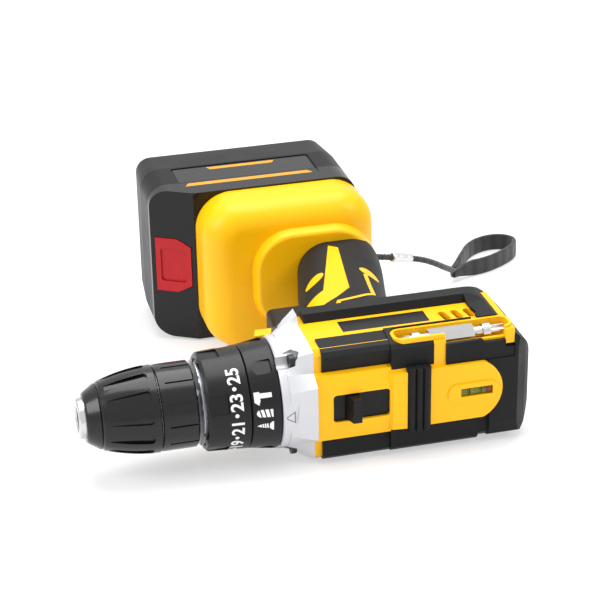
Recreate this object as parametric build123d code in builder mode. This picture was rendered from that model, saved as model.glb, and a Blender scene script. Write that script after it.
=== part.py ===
from build123d import *
import os
from math import acos, atan, cos, degrees, pi, radians, sin, sqrt, tan

# Cordless hammer drill, millimetres. The tool is modelled with its chuck axis on X: x runs from the tip of
# the chuck to the back of the motor housing, y from the top of the tool down to the battery, z to the
# tool's right side.
# At the end every piece is laid on the floor on the tool's left side, with +Z up.

# Fits
run_gap = 0.05          # radial running clearance of a shaft or slide
press_gap = 0.02        # radial gap of pieces pressed or moulded together
slip_gap = 0.3          # clearance between curved faces that move past each other

# Chuck
bore_r = 5.25
bore_relief = 0.4
nose_r = 8.5
core_r = 13.4
sleeve_start = 2.6
sleeve_seam = 31.8
sleeve_front_r = 10.6
sleeve_knurl_r = 13.6
sleeve_knurl_end = 8.0
sleeve_r = 18.0
rear_sleeve_r = 17.8
chuck_length = 46.9
bore_depth = 30.0
chuck_rear_r = 16.0
jaw_r = 2.9
jaw_tilt = 15.0
jaw_length = 25.0
jaw_mouth = 4.0
jaw_tip = 2.0
jaw_closed_r = 0.7
jaw_open_r = 5.3
jaw_count = 3
jaw_side_gap = 0.15
nut_start = 24.0
nut_length = 6.0
nut_r = 15.4
flute_count = 12
flute_depth = 0.9
flute_start = 11.0
flute_end = 28.5
flute_width = 4.6
rib_groove_width = 0.9
rib_groove_depth = 0.6
thread_r = 6.3
thread_start = 33.5
screw_r = 2.5
screw_head_r = 4.4
screw_head_length = 2.6
screw_length = 13.0

# Torque collar and mode ring
collar_start = 50.1
collar_seam = 67.3
collar_end = 79.5
collar_front_r = 20.4
collar_seam_r = 21.4
collar_end_r = 23.0
collar_wall = 2.4
collar_pockets = 5
collar_pocket_turn = 21.7
grip_pocket_turns = [57, 107, 157, 207, 257, 307]
grip_pocket_width = 6.4
pocket_length = 8.5
pocket_width = 8.2
pocket_depth = 0.6
ring_gap = 0.25

# Gearbox
barrel_start = 49.0
barrel_r = 13.2
case_r = 18.2
case_start = 66.6
case_end = 108.0
shaft_r = 6.0
bearing_r = 10.5
bearing_width = 6.0
bearing_start = 51.0
gear_module = 0.7
gear_pressure = 25.0
gear_backlash = 0.12
sun_teeth = 12
planet_teeth = 15
ring_teeth = 42
planet_count = 3
planet_width = 6.0
planet_bore_r = 1.6
planet_gap = 0.3
carrier_r = 12.6
carrier_thickness = 2.4
ring_r = 17.0
output_start = 70.6
input_start = 88.6
shift_travel = 6.8
shift_ring_width = 14.0
shift_groove_place = 3.0
shift_groove_depth = 0.8
shift_groove_width = 1.6
ball_r = 2.0
ball_circle_r = 15.4
ball_count = 6
washer_thickness = 1.4
spring_wire_r = 0.9
spring_turns = 4

# Motor
motor_r = 18.0
motor_start = 113.0
motor_length = 50.0
motor_wall = 1.6
motor_boss_r = 6.5
motor_shaft_r = 1.6
armature_r = 11.4
air_gap = 0.6
magnet_gap = 0.2
magnet_r = motor_r - motor_wall - magnet_gap
armature_slots = 5
commutator_r = 4.0
end_bell_length = 7.0
bell_shaft_end = 169.0

# Nose housing
nose_start = 79.8
nose_ring_end = 83.0
nose_ring_r = 23.5
nose_cone_r = 24.0
nose_angles = [0, 24, 42, 58, 75, 95, 105, 117, 138, 158, 180]
nose_section = [
    (-24.4, 0), (-24.2, 11.9), (-18.0, 15.6), (-17.4, 24.6), (-8.0, 25.4), (6.5, 25.4), (8.5, 29.0),
    (15.0, 29.0),
    (21.5, 22.0), (25.0, 12.0), (25.4, 0),
]
nose_field_y = 23.3
nose_screw_circle_r = 23.6
nose_screw_angles = [57, 123, 237, 303]
nose_screw_seat = 86.8
nose_screw_shank = 14.0

# Motor housing
housing_start = 93.8
core_end_x = 178.0
housing_end = 188.0
body_half = 25.0
panel_half = 14.8
panel_side_y = -20.2
crown_y = -22.2
shoulder_y = -17.6
belly_y = 24.0
wall = 2.4
rubber_thickness = 1.6
bay_r = 18.6
bay_half = 22.4
bay_top = -15.0
bay_bottom = 20.0
cradle_thickness = 3.0
cradles = [118.0, 138.0, 157.0]
lip_start = 125.5
band_start = 131.5
band_length = 10.0
band_half = 12.8
band_crest = -24.6
rib_half = 14.4
band_ribs = 3
band_rib_width = 2.8
panel_bed_y = -18.6
panel_y = -22.8
panel_end = 172.5
mound_height = 0.7
louvre_start = 154.0
louvre_pitch = 5.4
louvre_width = 3.2
louvre_length = 8.0
louvre_y = -1.5
louvre_count = 3

# Rubber of the motor housing
bar_half = 28.6
bar_start = 96.6
bar_end = 168.0
bar_top = 7.8
bar_foot_y = 15.5
block_start = 125.5
block_end = 143.5
left_block_end = 163.0
block_half = 26.6
block_y = -20.5
ridge_z = 22.7
bumper_y = -21.6

# Spirit level
vial_r = 2.0
vial_length = 13.6
vial_middle = 161.2
vial_y = -21.4

# Bit tray, its clip and the stored bit
tray_start = 127.2
tray_end = 178.0
tray_y = -14.2
tray_width = 10.2
tray_rim = 26.0
tray_floor = 19.2
tray_wall = 1.3
tray_corner = 4.0
tray_cut_rim = 21.6
clip_start = 148.5
clip_end = 174.0
clip_step_x = 164.0
clip_top = 22.2
clip_low_top = 20.6
clip_thickness = 1.8
bit_start = 129.8
bit_length = 45.0
bit_flats = 6.35
bit_neck_r = 2.2
bit_tip_length = 8.0

# Two-speed selector
window_start = 100.7
window_length = 23.9
window_half = 6.2
slider_y = -20.6
slider_thickness = 1.3
slider_start = 92.6
slider_length = 33.5
slider_half = 8.0
slider_rail = 4.0
lug_start = 108.0
lug_length = 3.6
lug_y = -26.2
lug_half = 5.4
selector_pin_end_r = 16.4
selector_pin_half = 1.2

# Handle: y, middle, depth and width of each section
grip_sections = [(16, 125, 62, 42), (40, 125, 44, 34), (72, 131, 40, 34), (108, 138, 36, 36)]
grip_corner = 14.0
rubber_top = 22.0
rubber_bottom = 101.0
inlay_panel = [
    (131, 95), (134.8, 92), (129, 53), (121, 45), (110, 36), (96, 36), (96, 44), (105, 47.5), (117.5, 54)
]
inlay_line = [
    (138.8, 65), (140.6, 65), (138.2, 43.4), (121.6, 39.8), (118.4, 33), (116.6, 33), (120.2, 41.4),
    (136.6, 45)
]
finger_pad = (117.0, 67.0)
palm_pad = (142.0, 66.5)

# Trigger, switch, direction button and lamp
trigger_front = 87.5
trigger_hollow = 91.4
trigger_foot = 92.6
trigger_back = 109.0
trigger_y = 31.5
trigger_height = 26.0
trigger_half = 8.5
trigger_travel = 7.0
plunger_r = 2.5
plunger_end = 121.0
spring_pocket_r = 5.2
spring_pocket_start = 101.0
trigger_wire_r = 0.5
trigger_spring_turns = 7
switch_start = 117.0
switch_length = 22.0
switch_y = 33.0
switch_height = 27.0
switch_half = 10.5
shelf_thickness = 2.4
button_half = 21.0
button_x = 111.0
button_y = 28.2
button_length = 9.0
button_height = 4.4
chin_start = 79.5
chin_slope = 1.8
chin_y = 25.8
chin_end_y = 31.2
chin_half = 13.0
lens_r = 1.9
lens_length = 4.0

# Case screws from the left side: x, y, depth of the head's seat and radius of the boss
case_screws = [
    (100.5, 23.2, 14.0, 2.6), (149.0, 23.2, 14.0, 2.6), (173.0, 13.0, 19.0, 3.0), (173.0, -12.0, 19.0, 3.0),
    (133.5, 86.0, 12.0, 3.4), (91.0, 116.4, 29.0, 3.6), (146.6, 116.4, 29.0, 3.6),
]
case_screw_r = 1.5
case_screw_head_r = 2.8
case_screw_head = 2.2
case_screw_reach = 9.0

# Foot
foot_top = 104.0
foot_end = 130.0
foot_front = 76.5
foot_length = 81.0
foot_width = 73.0
foot_corner = 17.0
foot_round = 12.0
foot_wall = 3.4
foot_floor = 3.0
dome_middle = 125.8
dome_length = 59.0
dome_width = 52.0
dome_corner = 20.0
dome_height = 5.0

# Battery shoe: a T rail under the foot that the pack slides onto
shoe_start = 86.0
shoe_length = 61.0
shoe_half = 20.0
shoe_flange = 4.0
shoe_neck_half = 16.0
shoe_head_half = 21.0
shoe_neck_end = 131.6
shoe_end = 135.4
terminal_length = 16.0
terminal_half = 14.0
blade_places = [-9.0, -3.0, 3.0, 9.0]
blade_thickness = 0.8
blade_height = 2.4

# Battery pack
pack_front = 57.0
pack_length = 96.5
pack_width = 74.8
pack_height = 54.7
pack_top = 127.3
pack_corner = 9.0
pack_draw_start = 161.0
pack_draw = 5.4
cell_space_draw = 3.7
pack_wall = 2.4
cell_space_corner = 3.0
pack_seam = 141.5
nose_drop = 11.0
nose_top_x = 76.0
badge_start = 71.5
badge_end = 138.5
badge_top = 135.7
badge_bottom = 159.3
badge_depth = 0.4
cell_r = 9.0
cell_length = 65.0
cell_columns = 5
cell_pitch = 18.05
board_thickness = 1.6
release_half = 13.5
release_narrow_half = 9.8
release_length = 17.5
release_thickness = 3.0
release_proud = 0.4
release_pocket = 6.5
latch_spring_r = 3.0
latch_wire_r = 0.45
latch_spring_turns = 3

# Wrist strap: the pin in the tool's frame, the routes as they lie on the floor in the laid frame
strap_pin_x = 155.3
strap_pin_y = 118.0
strap_pin_r = 1.6
strap_pocket_half = 5.0
strap_pocket_height = 9.0
strap_pocket_start = 151.5
strap_cord_r = 1.5
strap_route = [
    (64.0, 39.9, 35.8), (73.0, 43.2, 33.4), (91.0, 50.2, 27.8), (100.6, 56.6, 22.4), (110.4, 66.6, 14.6),
    (118.85, 81.5, 7.1),
]
crimp_r = 2.3
crimp_length = 12.0
crimp_share = 0.52
webbing_width = 8.4
webbing_thickness = 2.0
webbing_z = 4.5
webbing_route = [
    (119.4, 82.6), (127.5, 87.0), (139.0, 89.0), (151.0, 96.0), (160.0, 104.0), (163.5, 111.5),
    (160.5, 118.5), (153.0, 121.0), (143.5, 117.5), (136.0, 110.0), (130.5, 100.5), (125.5, 93.0),
    (121.6, 87.6),
]


# Places that several pieces share
shoe_flange_top = pack_top - foot_floor - 3.0
channel_floor = shoe_end + slip_gap
cell_row_y = pack_top + pack_height - pack_wall - cell_r - slip_gap
cell_places = [
    pack_front + pack_length / 2 + (i - (cell_columns - 1) / 2) * cell_pitch
    for i in range(cell_columns)
]
lead_r = 0.9
lead_y = 18.7
lead_z = 9.0
lead_drop_x = 141.2


def across(x):
    """The plane square to the chuck axis at x: its own x is y of the tool and its own y is z of the tool."""
    return Plane.YZ.offset(x)


def level(y):
    """The plane square to the handle at y: its own x is x of the tool and its own y is -z of the tool."""
    return Plane(origin=(0, y, 0), x_dir=(1, 0, 0), z_dir=(0, 1, 0))


def outline(points, mode=Mode.ADD):
    """Fills, or with Mode.SUBTRACT cuts, a closed outline of straight edges in the open sketch."""
    with BuildLine() as edge:
        Polyline(*points, close=True)
    make_face(edge.edges(), mode=mode)


def ring_profile(start, end, inner, outer):
    """Fills the half section of a plain ring about the chuck axis in the open sketch."""
    outline([(start, inner), (end, inner), (end, outer), (start, outer)])


# ------------------------------------------------------------------------------------------------------ chuck
jaw_slope = tan(radians(jaw_tilt))
jaw_hole_r = jaw_r + run_gap
jaw_axis_r = bore_r - jaw_hole_r / cos(radians(jaw_tilt))
jaw_travel = (jaw_open_r - jaw_closed_r) / sin(radians(jaw_tilt))


def jaw_outer(x):
    """Greatest radius of a jaw hole at x."""
    return bore_r + (x - jaw_mouth) * jaw_slope


def around(index, count):
    """A turn about the chuck axis to place one of a ring of equal pieces."""
    return Rot(X=360.0 * index / count)


jaw_direction = Vector(cos(radians(jaw_tilt)), sin(radians(jaw_tilt)), 0)
jaw_line = Plane(origin=(jaw_mouth, jaw_axis_r, 0), x_dir=(0, 0, 1), z_dir=jaw_direction)
jaw_lines = [Plane(around(i, jaw_count) * jaw_line.location) for i in range(jaw_count)]
flange_start = nut_start + nut_length
neck_end = 9.0

with BuildPart() as chuck_body:
    with BuildSketch(Plane.XY):
        outline([
            (0, bore_r + 0.7), (0, nose_r - 0.7), (0.7, nose_r), (neck_end, nose_r),
            (nut_start - 1.0, core_r), (nut_start, core_r), (nut_start, jaw_outer(nut_start) - 0.4),
            (flange_start, jaw_outer(nut_start) - 0.4), (flange_start, chuck_rear_r),
            (chuck_length, chuck_rear_r), (chuck_length, thread_r + press_gap),
            (thread_start, thread_r + press_gap), (thread_start, screw_r + 0.1), (bore_depth, screw_r + 0.1),
            (bore_depth, bore_r + bore_relief), (jaw_mouth, bore_r + bore_relief), (jaw_mouth, bore_r),
            (0.7, bore_r),
        ])
    revolve(axis=Axis.X)
    for line in jaw_lines:
        with BuildSketch(line.offset(-6)):
            Circle(jaw_hole_r)
        extrude(amount=50, mode=Mode.SUBTRACT)

jaws = []
for index in range(jaw_count):
    with BuildPart() as jaw:
        with BuildSketch(jaw_line):
            Circle(jaw_r)
        extrude(amount=jaw_length, both=True)
        with BuildSketch(across(jaw_tip)):
            outline([
                (jaw_closed_r, jaw_closed_r * sqrt(3) - jaw_side_gap), (20, 20 * sqrt(3) - jaw_side_gap),
                (20, jaw_side_gap - 20 * sqrt(3)), (jaw_closed_r, jaw_side_gap - jaw_closed_r * sqrt(3)),
            ])
        extrude(amount=jaw_length, mode=Mode.INTERSECT)
    rest_shift = jaw_direction * jaw_travel
    jaw.part = around(index, jaw_count) * Pos(rest_shift) * jaw.part
    jaws.append(jaw)

with BuildPart() as jaw_nut:
    with BuildSketch(Plane.XY):
        outline([
            (nut_start + ring_gap, jaw_outer(nut_start + ring_gap) + slip_gap / 2),
            (flange_start - ring_gap, jaw_outer(flange_start - ring_gap) + slip_gap / 2),
            (flange_start - ring_gap, nut_r), (nut_start + ring_gap, nut_r),
        ])
    revolve(axis=Axis.X)
    with BuildSketch(across(nut_start)):
        Rectangle(0.3, 2 * sleeve_r)
    extrude(amount=nut_length, mode=Mode.SUBTRACT)

with BuildPart() as chuck_sleeve:
    with BuildSketch(Plane.XY):
        with BuildLine():
            front = Polyline(
                (sleeve_start, nose_r + run_gap), (sleeve_start, sleeve_front_r - 0.8),
                (sleeve_start + 0.8, sleeve_front_r), (sleeve_knurl_end, sleeve_knurl_r),
                (sleeve_knurl_end + 0.4, sleeve_knurl_r - 0.3),
                (sleeve_knurl_end + 1.2, sleeve_knurl_r + 0.5),
            )
            barrel = ThreePointArc(front @ 1, (18.0, 16.6), (flute_end, sleeve_r))
            Polyline(
                barrel @ 1, (sleeve_seam - 0.4, sleeve_r), (sleeve_seam, sleeve_r - 0.4),
                (sleeve_seam, chuck_rear_r + slip_gap), (flange_start - ring_gap, chuck_rear_r + slip_gap),
                (flange_start - ring_gap, nut_r + press_gap), (nut_start, nut_r + press_gap),
                (nut_start, core_r + slip_gap), (nut_start - 1.0, core_r + slip_gap),
                (neck_end, nose_r + slip_gap + 0.2), (neck_end - 0.6, nose_r + run_gap), front @ 0,
            )
        make_face()
    revolve(axis=Axis.X)
    with BuildSketch(level(0)) as flute_shape:
        with BuildLine():
            Polyline(
                (flute_start, -flute_width * 0.28), (flute_end - 1.0, -flute_width * 0.5),
                (flute_end, -flute_width * 0.5 + 1.0), (flute_end, flute_width * 0.5 - 1.0),
                (flute_end - 1.0, flute_width * 0.5), (flute_start, flute_width * 0.28), close=True,
            )
        make_face()
    with BuildPart(mode=Mode.PRIVATE) as flute:
        with BuildSketch(Plane.XY):
            with BuildLine():
                floor = ThreePointArc(
                    (flute_start - 2.0, sleeve_knurl_r + 0.6),
                    (18.0, 16.6 - flute_depth), (flute_end + 0.5, sleeve_r - flute_depth),
                )
                Polyline(
                    floor @ 1, (flute_end + 0.5, sleeve_r + 2), (flute_start - 2.0, sleeve_r + 2), floor @ 0
                )
            make_face()
        revolve(axis=Axis.X)
        with BuildSketch(level(0)):
            add(flute_shape.sketch_local)
        extrude(amount=sleeve_r + 5, mode=Mode.INTERSECT)
    for index in range(flute_count):
        add(around(index + 0.5, flute_count) * flute.part, mode=Mode.SUBTRACT)

with BuildPart() as rear_sleeve:
    with BuildSketch(Plane.XY):
        outline([
            (sleeve_seam + ring_gap, chuck_rear_r + press_gap), (chuck_length, chuck_rear_r + press_gap),
            (chuck_length, rear_sleeve_r - 0.7), (chuck_length - 0.7, rear_sleeve_r),
            (sleeve_seam + ring_gap + 0.4, rear_sleeve_r), (sleeve_seam + ring_gap, rear_sleeve_r - 0.4),
        ])
    revolve(axis=Axis.X)
    groove_length = chuck_length - sleeve_seam - 3.0
    with BuildPart(mode=Mode.PRIVATE) as groove:
        with BuildSketch(level(rear_sleeve_r - rib_groove_depth)):
            with Locations((chuck_length - groove_length / 2, 0)):
                Rectangle(groove_length, rib_groove_width)
        extrude(amount=3)
    for index in range(flute_count):
        add(around(index, flute_count) * groove.part, mode=Mode.SUBTRACT)

screw_start = bore_depth - screw_head_length
with BuildPart() as chuck_screw:
    with BuildSketch(Plane.XY):
        outline([
            (screw_start, 0), (screw_start + screw_head_length + screw_length, 0),
            (screw_start + screw_head_length + screw_length, screw_r), (bore_depth, screw_r),
            (bore_depth, screw_head_r), (screw_start, screw_head_r),
        ])
    revolve(axis=Axis.X)
    with BuildSketch(across(screw_start)):
        Rectangle(1.0, 5.5)
        Rectangle(5.5, 1.0)
    extrude(amount=1.4, mode=Mode.SUBTRACT)

# ----------------------------------------------------------------------------------- planetary gearbox
sun_pitch_r = gear_module * sun_teeth / 2
planet_pitch_r = gear_module * planet_teeth / 2
planet_circle_r = sun_pitch_r + planet_pitch_r


def gear_points(teeth, addendum, dedendum, thinner):
    """Outline of an involute gear about the origin, with a tooth centred on its own x axis."""
    pitch_r = gear_module * teeth / 2
    base_r = pitch_r * cos(radians(gear_pressure))
    root_r = pitch_r - dedendum
    tip_r = pitch_r + addendum
    pitch_roll = tan(radians(gear_pressure)) - radians(gear_pressure)
    half_pitch = pi / (2 * teeth) - thinner / (2 * pitch_r)
    start_r = max(base_r, root_r)
    flank = []
    for step in range(4):
        radius = start_r + (tip_r - start_r) * step / 3
        pressure = acos(min(1.0, base_r / radius))
        flank.append((radius, half_pitch + pitch_roll - (tan(pressure) - pressure)))
    if root_r < start_r:
        flank.insert(0, (root_r, flank[0][1]))
    points = []
    for tooth in range(teeth):
        middle = 2 * pi * tooth / teeth
        for radius, half in flank:
            points.append((radius * cos(middle - half), radius * sin(middle - half)))
        for radius, half in reversed(flank):
            points.append((radius * cos(middle + half), radius * sin(middle + half)))
    return points


tooth_top = gear_module * 0.9
tooth_bottom = gear_module * 1.2
gear_shift = planet_gap
output_gear_start = output_start + carrier_thickness + gear_shift
input_gear_start = input_start + carrier_thickness + gear_shift
sun_end = input_start
pinion_end = input_gear_start + planet_width + 6.0

with BuildPart() as spindle:
    with BuildSketch(Plane.XY):
        outline([
            (thread_start, screw_r + press_gap), (thread_start, thread_r), (chuck_length, thread_r),
            (chuck_length + 1.0, shaft_r), (output_start, shaft_r), (output_start, carrier_r),
            (output_start + carrier_thickness, carrier_r), (output_start + carrier_thickness, 0),
            (thread_start + screw_length, 0), (thread_start + screw_length, screw_r + press_gap),
        ])
    revolve(axis=Axis.X)
    with BuildSketch(across(output_start + carrier_thickness)):
        with PolarLocations(planet_circle_r, planet_count):
            Circle(planet_bore_r - run_gap)
    extrude(amount=planet_width + 2 * planet_gap)

output_planets = []
input_planets = []
for planets, start in ((output_planets, output_gear_start), (input_planets, input_gear_start)):
    for index in range(planet_count):
        with BuildPart() as planet:
            with BuildSketch(across(start)):
                outline(gear_points(planet_teeth, tooth_top, tooth_bottom, gear_backlash))
                Circle(planet_bore_r, mode=Mode.SUBTRACT)
            extrude(amount=planet_width)
        planet.part = around(index, planet_count) * Pos(0, planet_circle_r, 0) * planet.part
        planets.append(planet)

with BuildPart() as sun_carrier:
    with BuildSketch(across(output_gear_start)):
        outline(gear_points(sun_teeth, tooth_top, tooth_bottom, gear_backlash))
    extrude(amount=sun_end - output_gear_start)
    with BuildSketch(across(input_start)):
        Circle(carrier_r)
    extrude(amount=carrier_thickness)
    with BuildSketch(across(input_start + carrier_thickness)):
        with PolarLocations(planet_circle_r, planet_count):
            Circle(planet_bore_r - run_gap)
    extrude(amount=planet_width + 2 * planet_gap)

output_ring_end = output_gear_start + planet_width + planet_gap
ring_space = gear_points(ring_teeth, tooth_bottom, tooth_top, -gear_backlash)
with BuildPart() as output_ring_gear:
    with BuildSketch(across(output_start)):
        Circle(ring_r)
        outline(ring_space, Mode.SUBTRACT)
    extrude(amount=output_ring_end - output_start)

shift_ring_start = input_gear_start + planet_width + 1.7 - shift_ring_width
shift_groove = shift_ring_start + shift_ring_width - shift_groove_place
with BuildPart() as shift_ring:
    with BuildSketch(across(shift_ring_start)):
        Circle(ring_r)
        outline(ring_space, Mode.SUBTRACT)
    extrude(amount=shift_ring_width)
    with BuildSketch(Plane.XY):
        ring_profile(
            shift_groove - shift_groove_width / 2, shift_groove + shift_groove_width / 2,
            ring_r - shift_groove_depth, ring_r + 1,
        )
    revolve(axis=Axis.X, mode=Mode.SUBTRACT)

with BuildPart() as spindle_bearings:
    for start, outer in ((bearing_start, bearing_r), (collar_seam - bearing_width, bearing_r - 1.5)):
        with BuildSketch(Plane.XY):
            ring_profile(start, start + bearing_width, shaft_r + run_gap, outer - press_gap)
        revolve(axis=Axis.X)

ball_hole_r = ball_r + run_gap
ball_middle = output_start - ball_r - run_gap
washer_end = ball_middle - ball_r - run_gap
washer_start = washer_end - washer_thickness
web_start = collar_start + 0.6
web_end = web_start + 2.4
bore_wall = ring_r + run_gap
rear_bearing_start = collar_seam - bearing_width

with BuildPart() as gear_case:
    with BuildSketch(Plane.XY):
        outline([
            (barrel_start, shaft_r + 1.5), (bearing_start, shaft_r + 1.5), (bearing_start, bearing_r),
            (bearing_start + bearing_width, bearing_r), (bearing_start + bearing_width, shaft_r + 1.5),
            (rear_bearing_start, shaft_r + 1.5), (rear_bearing_start, bearing_r - 1.5),
            (collar_seam, bearing_r - 1.5), (collar_seam, shaft_r + 1.5), (output_start - 0.5, shaft_r + 1.5),
            (output_start - 0.5, bore_wall), (case_end, bore_wall), (case_end, case_r),
            (case_start, case_r), (case_start, barrel_r), (barrel_start, barrel_r),
        ])
    revolve(axis=Axis.X)
    with BuildSketch(across(case_start)):
        with PolarLocations(ball_circle_r, ball_count):
            Circle(ball_hole_r)
    extrude(amount=output_start - case_start, mode=Mode.SUBTRACT)
    with BuildSketch(level(-case_r - 1)):
        with Locations((shift_groove + shift_travel / 2, 0)):
            SlotOverall(shift_travel + 4.0, 3.2)
    extrude(amount=case_r / 2, mode=Mode.SUBTRACT)

with BuildPart(across(ball_middle)) as clutch_balls:
    with PolarLocations(ball_circle_r, ball_count):
        Sphere(ball_r)

with BuildPart() as clutch_washer:
    with BuildSketch(Plane.XY):
        ring_profile(washer_start, washer_end, barrel_r + run_gap, ball_circle_r + ball_r)
    revolve(axis=Axis.X)

spring_r = (barrel_r + collar_front_r - collar_wall) / 2
spring_length = washer_start - web_end - 2 * spring_wire_r - 0.1
with BuildPart() as clutch_spring:
    with BuildLine():
        coil = Helix(
            spring_length / spring_turns, spring_length, spring_r,
            center=(web_end + spring_wire_r + run_gap, 0, 0), direction=(1, 0, 0),
        )
    with BuildSketch(Plane(origin=coil @ 0, z_dir=coil % 0)):
        Circle(spring_wire_r)
    sweep(path=coil, is_frenet=True)

plate_r = collar_front_r - collar_wall - slip_gap
with BuildPart() as detent_plate:
    with BuildSketch(across(barrel_start - 0.4)):
        Circle(plate_r)
        Circle(shaft_r + 1.5, mode=Mode.SUBTRACT)
        with PolarLocations(plate_r, 9):
            Rectangle(3.2, 2.6, mode=Mode.SUBTRACT)
        with PolarLocations(plate_r - 5.0, 3, start_angle=20):
            Circle(1.1, mode=Mode.SUBTRACT)
    extrude(amount=0.4)
    with BuildSketch(Plane.XY):
        ring_profile(barrel_start, web_start - ring_gap, barrel_r + press_gap, plate_r - 2.0)
    revolve(axis=Axis.X)

with BuildPart() as torque_ring:
    with BuildSketch(Plane.XY):
        outline([
            (collar_start, collar_front_r - collar_wall), (collar_start, collar_front_r - 0.9),
            (collar_start + 0.9, collar_front_r), (collar_seam - 0.3, collar_seam_r - 0.05),
            (collar_seam, collar_seam_r - 0.4), (collar_seam, case_r + slip_gap),
            (case_start - 1.0, case_r + slip_gap), (case_start - 1.0, collar_front_r - collar_wall),
            (web_end, collar_front_r - collar_wall), (web_end, barrel_r + run_gap),
            (web_start, barrel_r + run_gap), (web_start, collar_front_r - collar_wall),
        ])
    revolve(axis=Axis.X)
    with BuildPart(mode=Mode.PRIVATE) as pocket:
        with BuildSketch(level(-collar_front_r - 2)):
            with Locations((collar_start + pocket_length / 2, 0)):
                Rectangle(pocket_length, pocket_width)
        extrude(amount=2 + pocket_depth)
    for index in range(collar_pockets):
        add(Rot(X=-collar_pocket_turn) * around(index, collar_pockets) * pocket.part, mode=Mode.SUBTRACT)

mode_start = collar_seam + ring_gap
with BuildPart() as mode_ring:
    with BuildSketch(Plane.XY):
        outline([
            (mode_start, case_r + slip_gap), (mode_start, collar_seam_r - 0.4),
            (mode_start + 0.3, collar_seam_r), (collar_end - 0.8, collar_end_r),
            (collar_end, collar_end_r - 0.6), (collar_end, case_r + run_gap),
            (collar_end - 4.0, case_r + run_gap), (collar_end - 4.0, case_r + slip_gap),
        ])
    revolve(axis=Axis.X)
    with BuildPart(mode=Mode.PRIVATE) as grip_pocket:
        with BuildSketch(level(-collar_end_r - 2)):
            with Locations(((mode_start + collar_end) / 2, 0)):
                RectangleRounded(collar_end - mode_start - 4.0, grip_pocket_width, 0.6)
        extrude(amount=2 + pocket_depth + 0.7)
    for turn in grip_pocket_turns:
        add(Rot(X=-turn) * grip_pocket.part, mode=Mode.SUBTRACT)

# ---------------------------------------------------------------------------------------------------- motor
motor_end = motor_start + motor_length
plate_start = case_end + 0.1
core_start = motor_start + 9.0
core_end = motor_end - 13.0
commutator_start = core_end + 5.5
commutator_end = motor_end - 1.5

with BuildPart() as motor_plate:
    with BuildSketch(Plane.XY):
        ring_profile(plate_start, motor_start - press_gap, motor_boss_r + press_gap, case_r)
        ring_profile(case_end - 2.0, plate_start, bore_wall - 2.0, bore_wall - press_gap)
    revolve(axis=Axis.X)

with BuildPart() as motor_can:
    with BuildSketch(Plane.XY):
        outline([
            (motor_start - 3.0, motor_shaft_r + run_gap), (motor_start + motor_wall, motor_shaft_r + run_gap),
            (motor_start + motor_wall, motor_r - motor_wall), (motor_end, motor_r - motor_wall),
            (motor_end, motor_r), (motor_start, motor_r), (motor_start, motor_boss_r),
            (motor_start - 3.0, motor_boss_r),
        ])
    revolve(axis=Axis.X)
    with BuildSketch(across(motor_start - 1)):
        with PolarLocations(12.0, 4, start_angle=45):
            SlotOverall(7.0, 3.2, rotation=90, mode=Mode.ADD)
    extrude(amount=4, mode=Mode.SUBTRACT)

with BuildPart() as magnets:
    with BuildSketch(across(core_start - 2.0)):
        Circle(magnet_r)
        Circle(armature_r + air_gap, mode=Mode.SUBTRACT)
        Rectangle(9.0, 4 * magnet_r, mode=Mode.SUBTRACT)
    extrude(amount=core_end - core_start + 4.0)

with BuildPart() as armature:
    with BuildSketch(across(input_gear_start)):
        Circle(motor_shaft_r)
    extrude(amount=bell_shaft_end - input_gear_start)
    # pinion, laminated core and commutator
    with BuildSketch(across(input_gear_start)):
        outline(gear_points(sun_teeth, tooth_top, tooth_bottom, gear_backlash))
    extrude(amount=pinion_end - input_gear_start)
    with BuildSketch(across(core_start)):
        Circle(armature_r)
        with PolarLocations(armature_r - 2.6, armature_slots):
            Rectangle(6.5, 1.4, mode=Mode.SUBTRACT)
            Circle(2.0, mode=Mode.SUBTRACT)
    extrude(amount=core_end - core_start)
    with BuildSketch(Plane.XY):
        ring_profile(commutator_start, commutator_end, motor_shaft_r, commutator_r)
    revolve(axis=Axis.X)

with BuildPart() as armature_windings:
    for start, end in ((core_start - 4.5, core_start - press_gap), (core_end + press_gap, core_end + 4.5)):
        with BuildSketch(Plane.XY):
            ring_profile(start, end, motor_shaft_r + press_gap, armature_r - 1.4)
        revolve(axis=Axis.X)
    fillet(armature_windings.edges().filter_by(GeomType.CIRCLE).group_by(SortBy.RADIUS)[-1], radius=1.6)

with BuildPart() as end_bell:
    with BuildSketch(Plane.XY):
        outline([
            (motor_end - 1.2, motor_r - motor_wall - 2.0),
            (motor_end - 1.2, motor_r - motor_wall - press_gap),
            (motor_end + press_gap, motor_r - motor_wall - press_gap), (motor_end + press_gap, motor_r),
            (motor_end + 2.0, motor_r), (motor_end + 3.0, motor_boss_r),
            (motor_end + end_bell_length, motor_boss_r),
            (motor_end + end_bell_length, motor_shaft_r + run_gap),
            (motor_end + 0.5, motor_shaft_r + run_gap), (motor_end + 0.5, motor_r - motor_wall - 2.0),
        ])
    revolve(axis=Axis.X)

brush_start = commutator_start + 0.8
with BuildPart() as brushes:
    for side in (1, -1):
        with BuildSketch(level(side * (commutator_r + run_gap))):
            with Locations(((brush_start + commutator_end) / 2, 0)):
                Rectangle(commutator_end - brush_start - 1.0, 3.6)
        extrude(amount=side * (motor_r - motor_wall - commutator_r - 3.0))

# ----------------------------------------------------------------------------- outer forms of the case
foot_middle = foot_front + foot_length / 2
pack_middle = pack_front + pack_length / 2
pack_base = pack_top + pack_height
panel_start = band_start + band_length


def mirrored(half):
    """A closed outline from its right half, given as (y, z) points from top to bottom."""
    return half + [(y, -z) for y, z in reversed(half) if z > 0]


def grip_form(inset):
    """The handle as a loft of rounded sections, taken in all round by inset."""
    with BuildPart() as grip:
        for y, middle, depth, width in grip_sections:
            with BuildSketch(level(y)):
                with Locations((middle, 0)):
                    RectangleRounded(depth - 2 * inset, width - 2 * inset, grip_corner - inset)
        loft()
    return grip.part


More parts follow.
